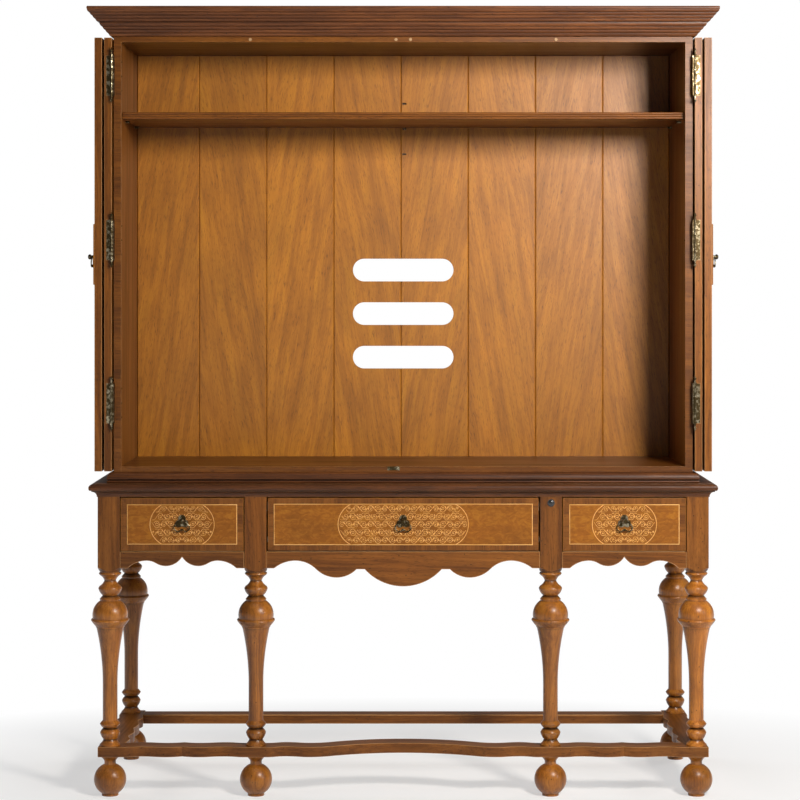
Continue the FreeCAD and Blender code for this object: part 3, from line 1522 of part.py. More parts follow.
def case_nodes():
    """Nodes of the case, without its doors."""
    right_side = case_side()
    return {
        "case_side_right": [right_side],
        "case_side_left": [mirrored(right_side)],
        "case_floor": [case_boards()[0]],
        "case_top": case_top(),
        "case_lipping": case_lipping(),
        "back_boards": back_boards(),
        "back_battens": back_battens(),
        "waist_moulding": waist_moulding(),
        "cornice": cornice(),
        "shelf": shelf(),
        "shelf_pins": shelf_pins(),
        "door_bumpers": door_bumpers(),
        "door_catch": door_catch(),
        "case_hinges": case_hinge_plates() + case_hinge_fasteners(),
    }


def door_nodes():
    """Nodes of the four leaves with their hinges, plaques and pulls, folded back."""
    right = {
        "leaf_right_outer": [opened(outer_leaf())],
        "leaf_right_outer_hinges": [opened(piece) for piece in outer_leaf_hinges()],
        "leaf_right_inner": [folded(inner_leaf())],
        "leaf_right_inner_hinges": [folded(piece) for piece in inner_leaf_hinges()],
        "leaf_right_plaque": [folded(plaque())],
        "leaf_right_pull": [folded(door_pull_place(pull_plate()))],
        "leaf_right_bail": [folded(door_pull_place(bail()))],
    }
    left = {name.replace("right", "left"): [mirrored(piece) for piece in pieces]
            for name, pieces in right.items()}
    return {**right, **left}


def main():
    """Build every node and write one STEP file for each."""
    os.makedirs("parts", exist_ok=True)
    nodes = {**stand_nodes(), **drawer_nodes(), **case_nodes(), **door_nodes()}
    for name, pieces in sorted(nodes.items()):
        solids = [solid for piece in pieces for solid in piece.Solids]
        shape = solids[0] if len(solids) == 1 else Part.makeCompound(solids)
        shape.exportStep("parts/%s.step" % name)
        size = shape.BoundBox
        print("%-26s %2d solids  x %.1f..%.1f  y %.1f..%.1f  z %.1f..%.1f" % (
            name, len(solids), size.XMin, size.XMax, size.YMin, size.YMax, size.ZMin, size.ZMax))
    print(len(nodes), "nodes")


main()
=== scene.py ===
"""Finishes and fine shapes of a television armoire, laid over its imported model.

The case, stand, drawers and doors keep their construction and sizes. This file eases their edges,
turns the legs and feet, lets in the marquetry and gives every piece its finish.
Lengths are metres; sizes in the classes are written as millimetres times MM.
"""

import logging
import math
import random
from dataclasses import dataclass, field
from enum import Enum
from functools import cache
from typing import Any, Callable, Iterable, Sequence

import bmesh
import bpy
import numpy as np
from bpy.types import Material, Mesh, Node, NodeSocket, NodeTree, Object
from mathutils import Matrix, Vector


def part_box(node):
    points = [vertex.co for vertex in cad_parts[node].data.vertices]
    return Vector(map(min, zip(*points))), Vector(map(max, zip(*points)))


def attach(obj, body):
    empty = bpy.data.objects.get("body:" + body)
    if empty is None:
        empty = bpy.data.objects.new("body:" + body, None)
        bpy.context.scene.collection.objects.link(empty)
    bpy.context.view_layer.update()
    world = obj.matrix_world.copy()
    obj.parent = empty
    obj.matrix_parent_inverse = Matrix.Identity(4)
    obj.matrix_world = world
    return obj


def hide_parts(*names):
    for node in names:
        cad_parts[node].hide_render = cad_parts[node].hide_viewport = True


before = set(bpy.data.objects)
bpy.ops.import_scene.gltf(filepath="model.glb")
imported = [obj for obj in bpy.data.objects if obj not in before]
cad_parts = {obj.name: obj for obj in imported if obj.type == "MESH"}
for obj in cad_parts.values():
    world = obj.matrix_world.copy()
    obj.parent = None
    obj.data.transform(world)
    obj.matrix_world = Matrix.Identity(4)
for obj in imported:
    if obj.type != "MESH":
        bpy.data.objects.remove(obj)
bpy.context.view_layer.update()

MM = 0.001
LOG = logging.getLogger("armoire")

# Two lengths, or the two values that something runs between.
Span = tuple[float, float]


# ------------------------------------------------------------------------------ colours and nodes
def linear(hex_colour: str) -> tuple[float, float, float, float]:
    """Turns an sRGB colour into the linear values that shaders use.

    Args:
        hex_colour: Six hexadecimal digits, red, green and blue.

    Returns:
        Linear red, green, blue and an alpha of one.
    """
    parts = [int(hex_colour[i:i + 2], 16) / 255.0 for i in (0, 2, 4)]
    red, green, blue = [p / 12.92 if p <= 0.04045 else ((p + 0.055) / 1.055) ** 2.4 for p in parts]
    return red, green, blue, 1.0


def node(tree: NodeTree, kind: str, inputs: dict[Any, Any] | None = None,
         **settings: Any) -> Node:
    """Adds one node with its settings, values and links.

    Args:
        tree: The tree that gets the node.
        kind: The node's type name.
        inputs: For each socket, by name or number, a value, a hex colour, an output to link, or a
            node to link by its first output.
        settings: Properties of the node itself.

    Returns:
        The new node.
    """
    made = tree.nodes.new(kind)
    for key, value in settings.items():
        setattr(made, key, value)
    for key, value in (inputs or {}).items():
        socket = made.inputs[key]
        if isinstance(value, Node):
            value = value.outputs[0]
        if isinstance(value, NodeSocket):
            tree.links.new(value, socket)
        elif isinstance(value, str) and socket.type == "RGBA":
            socket.default_value = linear(value)
        else:
            socket.default_value = value
    return made


def new_material(name: str) -> Material:
    """An empty node material of that name."""
    material = bpy.data.materials.new(name)
    material.use_nodes = True
    material.node_tree.nodes.clear()
    return material


def laid_over(tree: NodeTree, ground: Any, coat: Any, value: Any, low: float = 0.0,
              high: float = 1.0, most: float = 1.0) -> NodeSocket:
    """Lays one colour over another where a value passes from low to high.

    Args:
        tree: The material's tree.
        ground: Hex colour or output underneath.
        coat: Hex colour or output on top.
        value: Output that says where the coat lies.
        low: Value at which the coat begins.
        high: Value at which it is full.
        most: Share of the coat where it is full.

    Returns:
        The colour of both.
    """
    amount = node(tree, "ShaderNodeMapRange",
                  {"Value": value, "From Min": low, "From Max": high, "To Max": most})
    return node(tree, "ShaderNodeMix", {0: amount, 6: ground, 7: coat},
                data_type="RGBA").outputs[2]


def mingled(tree: NodeTree, first: Any, second: Any, share: float) -> Node:
    """Adds a share of the first value to the rest of the second."""
    rest = node(tree, "ShaderNodeMath", {0: second, 1: 1.0 - share}, operation="MULTIPLY")
    return node(tree, "ShaderNodeMath", {0: first, 1: share, 2: rest}, operation="MULTIPLY_ADD")


def surfaced(tree: NodeTree, height: Any, strength: float, depth: float,
             looks: dict[str, Any]) -> None:
    """Ends a material in its surface shader, with a fine relief.

    Args:
        tree: The material's tree.
        height: Output that gives the relief.
        strength: How much of the relief shows.
        depth: Height of the relief.
        looks: Values and outputs for the surface shader, by socket.
    """
    bump = node(tree, "ShaderNodeBump",
                {"Strength": strength, "Distance": depth, "Height": height})
    shader = node(tree, "ShaderNodeBsdfPrincipled", {**looks, "Normal": bump})
    node(tree, "ShaderNodeOutputMaterial", {"Surface": shader})


# ------------------------------------------------------------------------------ wood
class Cut(Enum):
    """How a board shows its figure."""

    PLAIN = "plain sawn"
    RIBBON = "quartered, with ribbon figure"
    BURR = "cut from a burr, with fine mottled figure"


@dataclass(frozen=True)
class Wood:
    """A stained and lacquered wood, read along each board's own grain.

    The vector attribute grain holds metres along, across and through the board; tone is a number
    for each board. The edge attribute is one on eased edges, made lighter by wear and a painted
    highlight; the glaze attribute is one in the bottom of recesses, made darker by glaze and
    painted shade. A size is a length and a width; a turn is the two values between which a pattern
    takes its effect.
    """

    name: str
    slot: str
    dark: str
    middle: str
    light: str
    pore: str
    glaze: str
    wear_and_highlight: str
    cut: Cut = Cut.PLAIN
    streak_width: float = 7.0 * MM
    streak_length: float = 420.0 * MM
    board_change: float = 0.22
    mottle: float = 0.35
    pore_share: float = 0.5
    speck_share: float = 0.5
    roughness: float = 0.34
    gloss: float = 0.3
    # the same in every wood here
    wander: float = 56.0 * MM
    wander_size: Span = (520.0 * MM, 95.0 * MM)
    broad_length: float = 1.6
    broad_width: float = 6.0
    streak_share: float = 0.55
    ribbon_size: Span = (150.0 * MM, 17.0 * MM)
    ribbon_share: float = 0.3
    curl_size: Span = (22.0 * MM, 15.0 * MM)
    curl_share: float = 0.6
    dark_turn: Span = (0.30, 0.52)
    light_turn: Span = (0.48, 0.70)
    cloud_size: Span = (150.0 * MM, 60.0 * MM)
    cloud_turn: Span = (0.3, 0.7)
    pore_size: Span = (16.0 * MM, 1.7 * MM)
    pore_turn: Span = (0.55, 0.72)
    speck_pitch: float = 19.0 * MM
    speck_turn: Span = (0.11, 0.05)
    # how light eased edges go: wear and a painted highlight
    wear_and_highlight_share: float = 0.7
    # how dark recesses go: glaze and painted shade
    glaze_and_shade_share: float = 0.88
    rough_turn: Span = (0.3, 0.7)
    rough_more: float = 0.10
    rough_less: float = 0.04
    swell_turn: Span = (0.2, 0.8)
    swell: float = 0.3
    relief_strength: float = 0.22
    relief_depth: float = 0.25 * MM

    def pattern(self, tree: NodeTree, grain: Any, size: Span, detail: float = 2.0,
                roughness: float = 0.5, distortion: float = 0.0) -> Node:
        """Noise stretched along the board.

        Args:
            tree: The material's tree.
            grain: Grain coordinates, as an output or a node.
            size: How far one unit of the noise goes along and across the board.
            detail: Finer layers of the noise.
            roughness: Weight of the finer layers.
            distortion: How much the noise is stirred.

        Returns:
            The noise.
        """
        length, width = size
        scaled = node(tree, "ShaderNodeVectorMath",
                      {0: grain, 1: (1.0 / length, 1.0 / width, 1.0 / width)},
                      operation="MULTIPLY")
        return node(tree, "ShaderNodeTexNoise",
                    {"Vector": scaled, "Scale": 1.0, "Detail": detail, "Roughness": roughness,
                     "Distortion": distortion})

    def warped(self, tree: NodeTree, grain: Any) -> Node:
        """Grain coordinates pushed sideways, so that the streaks wander as the trunk did."""
        slow = self.pattern(tree, grain, self.wander_size).outputs["Color"]
        push = node(tree, "ShaderNodeVectorMath", {0: slow, 1: (0.5, 0.5, 0.5)},
                    operation="SUBTRACT")
        return node(tree, "ShaderNodeVectorMath",
                    {0: push, 1: (0.0, self.wander, self.wander), 2: grain},
                    operation="MULTIPLY_ADD")

    def figure(self, tree: NodeTree, grain: Any, flow: Any) -> Node:
        """Light and dark of the figure, about 0 to 1."""
        streak = (self.streak_length, self.streak_width)
        broad = (self.streak_length * self.broad_length, self.streak_width * self.broad_width)
        value = mingled(tree, self.pattern(tree, flow, streak, 5.0, 0.62),
                        self.pattern(tree, flow, broad), self.streak_share)
        if self.cut is Cut.RIBBON:
            ribbon = self.pattern(tree, grain, self.ribbon_size, distortion=0.4)
            value = mingled(tree, ribbon, value, self.ribbon_share)
        if self.cut is Cut.BURR:
            curls = self.pattern(tree, grain, self.curl_size, 6.0, 0.66, 1.4)
            value = mingled(tree, curls, value, self.curl_share)
        return value

    def build(self) -> Material:
        """Makes the material and returns it."""
        material = new_material(self.name)
        tree = material.node_tree
        grain, tone, edge, recess = [
            node(tree, "ShaderNodeAttribute", attribute_name=name).outputs[output]
            for name, output in (("grain", "Vector"), ("tone", "Fac"), ("edge", "Fac"),
                                 ("glaze", "Fac"))]
        flow = self.warped(tree, grain)
        figure = self.figure(tree, grain, flow)
        colour = laid_over(tree, self.dark, self.middle, figure, *self.dark_turn)
        colour = laid_over(tree, colour, self.light, figure, *self.light_turn)
        # stain takes unevenly, so the colour clouds over a hand's breadth
        cloud = self.pattern(tree, grain, self.cloud_size, 3.0, 0.55)
        for value, (low, high), change in ((cloud, self.cloud_turn, self.mottle),
                                           (tone, (0.0, 1.0), self.board_change)):
            strength = node(tree, "ShaderNodeMapRange",
                            {"Value": value, "From Min": low, "From Max": high,
                             "To Min": 1.0 - change, "To Max": 1.0 + change})
            colour = node(tree, "ShaderNodeVectorMath", {0: colour, "Scale": strength},
                          operation="SCALE")
        # walnut's pores are short dark dashes; drawn several times as wide so that they show
        low, high = self.pore_turn
        pores = node(tree, "ShaderNodeMapRange",
                     {"Value": self.pattern(tree, flow, self.pore_size), "From Min": low,
                      "From Max": high, "To Max": self.pore_share})
        colour = laid_over(tree, colour, self.pore, pores)
        # spattered glaze and old knocks: small dark specks a few centimetres apart
        dots = node(tree, "ShaderNodeTexVoronoi",
                    {"Vector": grain, "Scale": 1.0 / self.speck_pitch, "Randomness": 1.0})
        colour = laid_over(tree, colour, self.glaze, dots, *self.speck_turn, self.speck_share)
        # eased edges lighter: wear, and a painted highlight along each edge
        colour = laid_over(tree, colour, self.wear_and_highlight, edge, most=self.wear_and_highlight_share)
        # recesses darker: glaze, and painted shade in the hollows
        colour = laid_over(tree, colour, self.glaze, recess, most=self.glaze_and_shade_share)
        # the light figure is a little smoother than the dark and stands a little higher
        low, high = self.rough_turn
        rough = node(tree, "ShaderNodeMapRange",
                     {"Value": figure, "From Min": low, "From Max": high,
                      "To Min": self.roughness + self.rough_more,
                      "To Max": self.roughness - self.rough_less})
        low, high = self.swell_turn
        swell = node(tree, "ShaderNodeMapRange",
                     {"Value": figure, "From Min": low, "From Max": high, "To Max": self.swell})
        relief = node(tree, "ShaderNodeMath", {0: swell, 1: pores}, operation="SUBTRACT")
        surfaced(tree, relief, self.relief_strength, self.relief_depth,
                 {"Base Color": colour, "Roughness": rough, "IOR": 1.5,
                  "Specular IOR Level": self.gloss})
        return material


# Solid walnut under a brown stain and satin lacquer: the case, its edges, the rails and aprons.
CARCASE_WALNUT = Wood("walnut_stained_satin", "carcase_walnut", dark="4b280a", middle="6a3d12",
                      light="86531f", pore="241005", glaze="1a0c05", wear_and_highlight="b98a56",
                      streak_width=6.0 * MM, mottle=0.16, pore_share=0.55, speck_share=0.75,
                      roughness=0.36)
# The same walnut coloured darker, with glaze and painted shade left between the members of the
# mouldings.
MOULDING_WALNUT = Wood("walnut_mouldings_dark_stain", "carcase_walnut", dark="381c09",
                       middle="522d13", light="6b3f1d", pore="1c0d06", glaze="150a05",
                       wear_and_highlight="946a40", streak_width=4.0 * MM, mottle=0.2, pore_share=0.6,
                       speck_share=0.8, roughness=0.38)
# The same walnut turned on a lathe: closer grain and higher polish. Its colours are lighter than
# the case's walnut, painted light on the turnings, and dark glaze and painted shade fill the
# coves.
TURNED_WALNUT = Wood("walnut_turned_polished", "carcase_walnut", dark="6c3b0f", middle="955a1d",
                     light="b6772d", pore="301606", glaze="180a04", wear_and_highlight="c2945a",
                     streak_width=5.0 * MM, mottle=0.24, pore_share=0.45, speck_share=0.8,
                     roughness=0.30, gloss=0.5)
# Lighter, golden walnut boards, quartered so that the light runs over them in ribbons.
PANEL_WALNUT = Wood("walnut_boards_golden", "panel_walnut", dark="804e0c", middle="a1651a",
                    light="b47922", pore="472406", glaze="180a04", wear_and_highlight="9c6222", cut=Cut.RIBBON,
                    streak_width=3.2 * MM, streak_length=260.0 * MM, board_change=0.07,
                    mottle=0.12, pore_share=0.62, speck_share=0.12, roughness=0.40, gloss=0.6)
# Figured walnut veneer on the drawer fronts and plaques: fine mottle, even colour.
VENEER_WALNUT = Wood("walnut_veneer_figured", "veneer_walnut", dark="703e0c", middle="875114",
                     light="9e681e", pore="4a2608", glaze="2c1406", wear_and_highlight="875b23", cut=Cut.BURR,
                     mottle=0.14, board_change=0.06, pore_share=0.3, speck_share=0.2,
                     roughness=0.36)
# The cross-banding round the veneer is cut from darker wood.
BANDING_WALNUT = Wood("walnut_crossbanding", "veneer_walnut", dark="532c0b", middle="6d4014",
                      light="875421", pore="301606", glaze="1c0e05", wear_and_highlight="936330", mottle=0.14,
                      board_change=0.05, pore_share=0.4, speck_share=0.4, roughness=0.36)
# Drawer sides of hard maple with a clear coat: pale, close and nearly without pores.
DRAWER_MAPLE = Wood("maple_clear_lacquer", "drawer_maple", dark="b08a5c", middle="c8a676",
                    light="dcc096", pore="a07c50", glaze="6b4d2e", wear_and_highlight="dcc096",
                    streak_width=5.0 * MM, mottle=0.08, pore_share=0.12, speck_share=0.05,
                    roughness=0.45)
# Boxwood stringing and marquetry under the same lacquer: pale gold, very fine grain.
INLAY_BOXWOOD = Wood("boxwood_inlay_lacquered", "veneer_walnut", dark="c48c44", middle="dba45c",
                     light="ebbd7c", pore="9a6a34", glaze="6a3e1a", wear_and_highlight="e3b474",
                     streak_width=2.0 * MM, streak_length=60.0 * MM, mottle=0.10,
                     board_change=0.10, pore_share=0.1, speck_share=0.1, roughness=0.36)


# ------------------------------------------------------------------------------ other finishes
@dataclass(frozen=True)
class AgedBrass:
    """Cast brass with a brown patina, rubbed bright where hands reach.

    Its grit stands for the fine cast ornament, drawn as coarse as it needs to be to show.
    """

    name: str = "brass_cast_aged"
    slot: str = "antique_brass"
    bare: str = "b9ad90"
    patina: str = "463a24"
    dirt: str = "14100a"
    patch: float = 9.0 * MM
    grit: float = 1.1 * MM
    rubbed_turn: Span = (0.50, 0.66)
    grit_turn: Span = (0.52, 0.70)
    grit_share: float = 0.55
    polish_turn: Span = (0.40, 0.65)
    dull_roughness: float = 0.46
    rubbed_roughness: float = 0.24
    relief_strength: float = 0.35
    relief_depth: float = 0.15 * MM

    def build(self) -> Material:
        """Makes the material and returns it."""
        material = new_material(self.name)
        tree = material.node_tree
        where = node(tree, "ShaderNodeTexCoord").outputs["Object"]
        recess = node(tree, "ShaderNodeAttribute", attribute_name="glaze").outputs["Fac"]
        clouds = node(tree, "ShaderNodeTexNoise",
                      {"Vector": where, "Scale": 1.0 / self.patch, "Detail": 4.0,
                       "Roughness": 0.6})
        grit = node(tree, "ShaderNodeTexNoise",
                    {"Vector": where, "Scale": 1.0 / self.grit, "Detail": 3.0})
        colour = laid_over(tree, self.patina, self.bare, clouds, *self.rubbed_turn)
        colour = laid_over(tree, colour, self.dirt, grit, *self.grit_turn, self.grit_share)
        colour = laid_over(tree, colour, self.dirt, recess)
        low, high = self.polish_turn
        rough = node(tree, "ShaderNodeMapRange",
                     {"Value": clouds, "From Min": low, "From Max": high,
                      "To Min": self.dull_roughness, "To Max": self.rubbed_roughness})
        surfaced(tree, grit, self.relief_strength, self.relief_depth,
                 {"Base Color": colour, "Metallic": 1.0, "Roughness": rough})
        return material


@dataclass(frozen=True)
class PlainFinish:
    """A plain moulded or woven stuff: one colour, broken up by fine grit."""

    name: str
    slot: str
    base: str
    shade: str
    grit: float
    roughness: float
    bump: float = 0.2
    coat: float = 0.0
    rough_turn: Span = (0.3, 0.7)
    rough_less: float = 0.05
    rough_more: float = 0.08
    relief_depth: float = 0.1 * MM

    def build(self) -> Material:
        """Makes the material and returns it."""
        material = new_material(self.name)
        tree = material.node_tree
        where = node(tree, "ShaderNodeTexCoord").outputs["Object"]
        grit = node(tree, "ShaderNodeTexNoise",
                    {"Vector": where, "Scale": 1.0 / self.grit, "Detail": 4.0})
        low, high = self.rough_turn
        rough = node(tree, "ShaderNodeMapRange",
                     {"Value": grit, "From Min": low, "From Max": high,
                      "To Min": self.roughness - self.rough_less,
                      "To Max": self.roughness + self.rough_more})
        surfaced(tree, grit, self.bump, self.relief_depth,
                 {"Base Color": laid_over(tree, self.base, self.shade, grit), "Roughness": rough,
                  "IOR": 1.5, "Coat Weight": self.coat, "Coat Roughness": 0.1})
        return material


BRASS = AgedBrass()
# Moulded nylon: milky white with a soft sheen.
NYLON = PlainFinish("nylon_moulded_white", "white_nylon", "e8e4da", "d6d0c2", 2.0 * MM, 0.45)
# Wool felt: tan, dull, with a short nap.
FELT = PlainFinish("felt_wool_tan", "brown_felt", "c2a27c", "8c6f4e", 0.6 * MM, 0.9, bump=0.8)
# Smoked acrylic over the remote receiver: near black, polished.
LENS = PlainFinish("acrylic_smoked_polished", "black_lens", "0b0a0a", "141210", 6.0 * MM, 0.12,
                   bump=0.02, coat=0.6)

Finish = Wood | AgedBrass | PlainFinish


@cache
def finished(finish: Finish) -> Material:
    """The material of a finish, made when it is first asked for."""
    return finish.build()


# ------------------------------------------------------------------------------ mesh helpers
MERGE_DISTANCE = 0.002 * MM
FLAT_ANGLE = math.radians(0.4)
# Radians past which faces that meet in a hollow hold glaze, and past which a ridge is eased.
RECESS_ANGLE = -0.3
EDGE_ANGLE = 0.55
# Metres of trunk from which the boards are cut, each somewhere else.
TRUNK = 9.0


def link(name: str, mesh: Mesh) -> Object:
    """An object of that name for a mesh, at the origin and in the scene."""
    mesh.name = name
    made = bpy.data.objects.new(name, mesh)
    bpy.context.scene.collection.objects.link(made)
    return made


def made_of(name: str, bm: bmesh.types.BMesh) -> Object:
    """Turns a bmesh into an object of that name, in the scene, and frees the bmesh."""
    mesh = bpy.data.meshes.new(name)
    bm.to_mesh(mesh)
    bm.free()
    return link(name, mesh)


def applied(obj: Object) -> Object:
    """Turns an object with its modifiers into a plain mesh and returns it."""
    bpy.context.view_layer.update()
    graph = bpy.context.evaluated_depsgraph_get()
    old, name = obj.data, obj.data.name
    mesh = bpy.data.meshes.new_from_object(obj.evaluated_get(graph))
    obj.modifiers.clear()
    obj.data = mesh
    bpy.data.meshes.remove(old)
    mesh.name = name
    return obj


def slab(bm: bmesh.types.BMesh, ring: Iterable[Sequence[float]], push: Sequence[float]) -> None:
    """Adds a flat face and pushes it out into a slab.

    Args:
        bm: The bmesh that gets it.
        ring: Corners of the face.
        push: Way from the first side of the slab to the other.
    """
    face = bm.faces.new([bm.verts.new(corner) for corner in ring])
    made = bmesh.ops.extrude_face_region(bm, geom=[face])
    moved = [item for item in made["geom"] if isinstance(item, bmesh.types.BMVert)]
    bmesh.ops.translate(bm, verts=moved, vec=push)


def islands(mesh: Mesh) -> np.ndarray:
    """Numbers the separate solids of a mesh.

    Args:
        mesh: Any mesh whose touching faces share vertices.

    Returns:
        For each vertex the number of its solid, from zero.
    """
    count = len(mesh.vertices)
    owner = np.arange(count)
    pairs = np.zeros(len(mesh.edges) * 2, int)
    mesh.edges.foreach_get("vertices", pairs)
    first, second = pairs[0::2], pairs[1::2]
    while True:
        low = np.minimum(owner[first], owner[second])
        before = owner.copy()
        np.minimum.at(owner, first, low)
        np.minimum.at(owner, second, low)
        owner = owner[owner]
        if np.array_equal(before, owner):
            break
    return np.unique(owner, return_inverse=True)[1]


def set_attribute(mesh: Mesh, name: str, kind: str, domain: str,
                  values: np.ndarray) -> None:
    """Stores values, one row per element, as a named attribute of the mesh."""
    made = mesh.attributes.get(name) or mesh.attributes.new(name, kind, domain)
    key = "vector" if kind == "FLOAT_VECTOR" else "value"
    made.data.foreach_set(key, values.astype(np.float32).ravel())


def grain_boards(mesh: Mesh, seed: int, tilt: float = 1.5,
                 lean: Callable[[float, float], float] | None = None) -> None:
    """Gives each solid of a mesh its own grain, along its longest side.

    Args:
        mesh: The mesh that gets the attributes grain and tone.
        seed: Seed for the place in the log that each board was cut from.
        tilt: Most degrees between a board's grain and its edges.
        lean: Gives the tilt of a board in degrees from the X and Z of its middle, if set.
    """
    count = len(mesh.vertices)
    places = np.zeros(count * 3)
    mesh.vertices.foreach_get("co", places)
    places = places.reshape(-1, 3)
    owner = islands(mesh)
    draw = random.Random(seed)
    grain = np.zeros((count, 3))
    tone = np.zeros(count)
    for number in range(owner.max() + 1):
        mine = owner == number
        part = places[mine]
        low, high = part.min(0), part.max(0)
        middle = (low + high) / 2.0
        along = int(np.argmax(high - low))
        across, through = [axis for axis in range(3) if axis != along]
        if (high - low)[across] < (high - low)[through]:
            across, through = through, across
        angle = math.radians(draw.uniform(-tilt, tilt))
        if lean is not None:
            angle = math.radians(lean(middle[0], middle[2]))
        u = part[:, along] - middle[along]
        v = part[:, across] - middle[across]
        start = [draw.uniform(0.0, TRUNK) for _ in range(3)]
        grain[mine, 0] = u * math.cos(angle) + v * math.sin(angle) + start[0]
        grain[mine, 1] = v * math.cos(angle) - u * math.sin(angle) + start[1]
        grain[mine, 2] = part[:, through] - middle[through] + start[2]
        tone[mine] = draw.random()
    set_attribute(mesh, "grain", "FLOAT_VECTOR", "POINT", grain)
    set_attribute(mesh, "tone", "FLOAT", "POINT", tone)


def shade(bm: bmesh.types.BMesh, crease: float = 42.0) -> None:
    """Smooth faces, parted where they meet at more than crease degrees."""
    limit = math.radians(crease)
    for face in bm.faces:
        face.smooth = True
    for edge in bm.edges:
        edge.smooth = len(edge.link_faces) == 2 and edge.calc_face_angle(0.0) < limit


def eased(name: str, nodes: Sequence[str], width: float, glaze: bool = False,
          above: float | None = None) -> Object:
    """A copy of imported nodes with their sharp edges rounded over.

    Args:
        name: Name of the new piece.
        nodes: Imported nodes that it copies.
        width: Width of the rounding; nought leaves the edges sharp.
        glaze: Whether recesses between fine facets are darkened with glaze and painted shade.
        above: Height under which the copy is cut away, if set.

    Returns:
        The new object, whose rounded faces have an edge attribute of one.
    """
    bm = bmesh.new()
    for part in nodes:
        bm.from_mesh(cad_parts[part].data)
    bmesh.ops.remove_doubles(bm, verts=bm.verts, dist=MERGE_DISTANCE)
    if above is not None:
        bmesh.ops.bisect_plane(bm, geom=[*bm.verts, *bm.edges, *bm.faces], dist=1e-6,
                               plane_co=(0.0, 0.0, above), plane_no=(0.0, 0.0, 1.0),
                               clear_inner=True)
        rim = [edge for edge in bm.edges if len(edge.link_faces) == 1]
        bmesh.ops.holes_fill(bm, edges=rim, sides=0)
    bmesh.ops.dissolve_limit(bm, angle_limit=FLAT_ANGLE, use_dissolve_boundaries=False,
                             verts=bm.verts, edges=bm.edges, delimit=set())
    # vertices along hollows are marked for glaze and painted shade
    recess = bm.verts.layers.float.new("glaze")
    if glaze:
        for edge in bm.edges:
            if len(edge.link_faces) == 2 and edge.calc_face_angle_signed(0.0) < RECESS_ANGLE:
                for vert in edge.verts:
                    vert[recess] = 1.0
    # rounded faces are marked for the lighter edge colour: wear and a painted highlight
    wear_and_highlight = bm.faces.layers.float.new("edge")
    if width > 0.0:
        sharp = [edge for edge in bm.edges
                 if len(edge.link_faces) == 2 and edge.calc_face_angle_signed(0.0) > EDGE_ANGLE]
        made = bmesh.ops.bevel(bm, geom=sharp, offset=width, offset_type="OFFSET", segments=2,
                               profile=0.5, affect="EDGES", clamp_overlap=True)
        for face in made["faces"]:
            face[wear_and_highlight] = 1.0
    shade(bm)
    piece = made_of(name, bm)
    piece.data.materials.clear()
    # weighted normals keep flat faces flat where a rounded edge runs into them
    modifier = piece.modifiers.new("weighted", "WEIGHTED_NORMAL")
    modifier.keep_sharp = True
    modifier.weight = 100
    return applied(piece)


def settle(piece: Object, body: str, finish: Finish, replaced: Sequence[str] = ()) -> Object:
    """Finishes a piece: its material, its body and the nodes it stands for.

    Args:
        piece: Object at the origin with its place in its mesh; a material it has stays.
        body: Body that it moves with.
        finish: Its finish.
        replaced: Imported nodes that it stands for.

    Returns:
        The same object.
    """
    if not piece.data.materials:
        piece.data.materials.append(finished(finish))
    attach(piece, body)
    if replaced:
        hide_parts(*replaced)
    LOG.info("%s: %d faces, on %s", piece.name, len(piece.data.polygons), body)
    return piece


def boards(nodes: Sequence[str], body: str, finish: Finish, seed: int, width: float = 1.0 * MM,
           glaze: bool = False, tilt: float = 1.5, name: str = "") -> Object:
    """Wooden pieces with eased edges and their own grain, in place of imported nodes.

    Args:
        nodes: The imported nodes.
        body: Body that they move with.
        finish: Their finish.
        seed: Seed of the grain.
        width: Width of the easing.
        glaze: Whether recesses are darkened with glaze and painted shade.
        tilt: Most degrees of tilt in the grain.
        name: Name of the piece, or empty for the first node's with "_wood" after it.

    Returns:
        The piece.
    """
    piece = eased(name or nodes[0] + "_wood", nodes, width, glaze)
    grain_boards(piece.data, seed, tilt)
    return settle(piece, body, finish, nodes)


def fitted(part: str, body: str, finish: Finish, ending: str = "_fitted",
           width: float = 0.0) -> Object:
    """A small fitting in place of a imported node, named for it with an ending.

    Args:
        part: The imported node.
        body: Body that it moves with.
        finish: Its finish.
        ending: End of the piece's name.
        width: Width of the easing of its edges.

    Returns:
        The piece.
    """
    return settle(eased(part + ending, [part], width), body, finish, [part])


# ------------------------------------------------------------------------------ geometry trees
def new_tree(name: str, inputs: dict[str, str]) -> tuple[NodeTree, Node]:
    """Starts a geometry tree that takes points or lines and a material.

    Args:
        name: Name of the tree.
        inputs: For each further input, the kind of its socket.

    Returns:
        The tree and its input node.
    """
    tree = bpy.data.node_groups.new(name, "GeometryNodeTree")
    tree.interface.new_socket(name="Geometry", in_out="OUTPUT", socket_type="NodeSocketGeometry")
    for title, kind in {"Geometry": "NodeSocketGeometry", **inputs,
                        "Material": "NodeSocketMaterial"}.items():
        tree.interface.new_socket(name=title, in_out="INPUT", socket_type=kind)
    return tree, node(tree, "NodeGroupInput")


def end_tree(tree: NodeTree, start: Node, geometry: Node) -> NodeTree:
    """Ends a geometry tree: makes its geometry real, gives it the material, returns the tree."""
    solid = node(tree, "GeometryNodeRealizeInstances", {"Geometry": geometry})
    dressed = node(tree, "GeometryNodeSetMaterial",
                   {"Geometry": solid, "Material": start.outputs["Material"]})
    node(tree, "NodeGroupOutput", {"Geometry": dressed})
    return tree


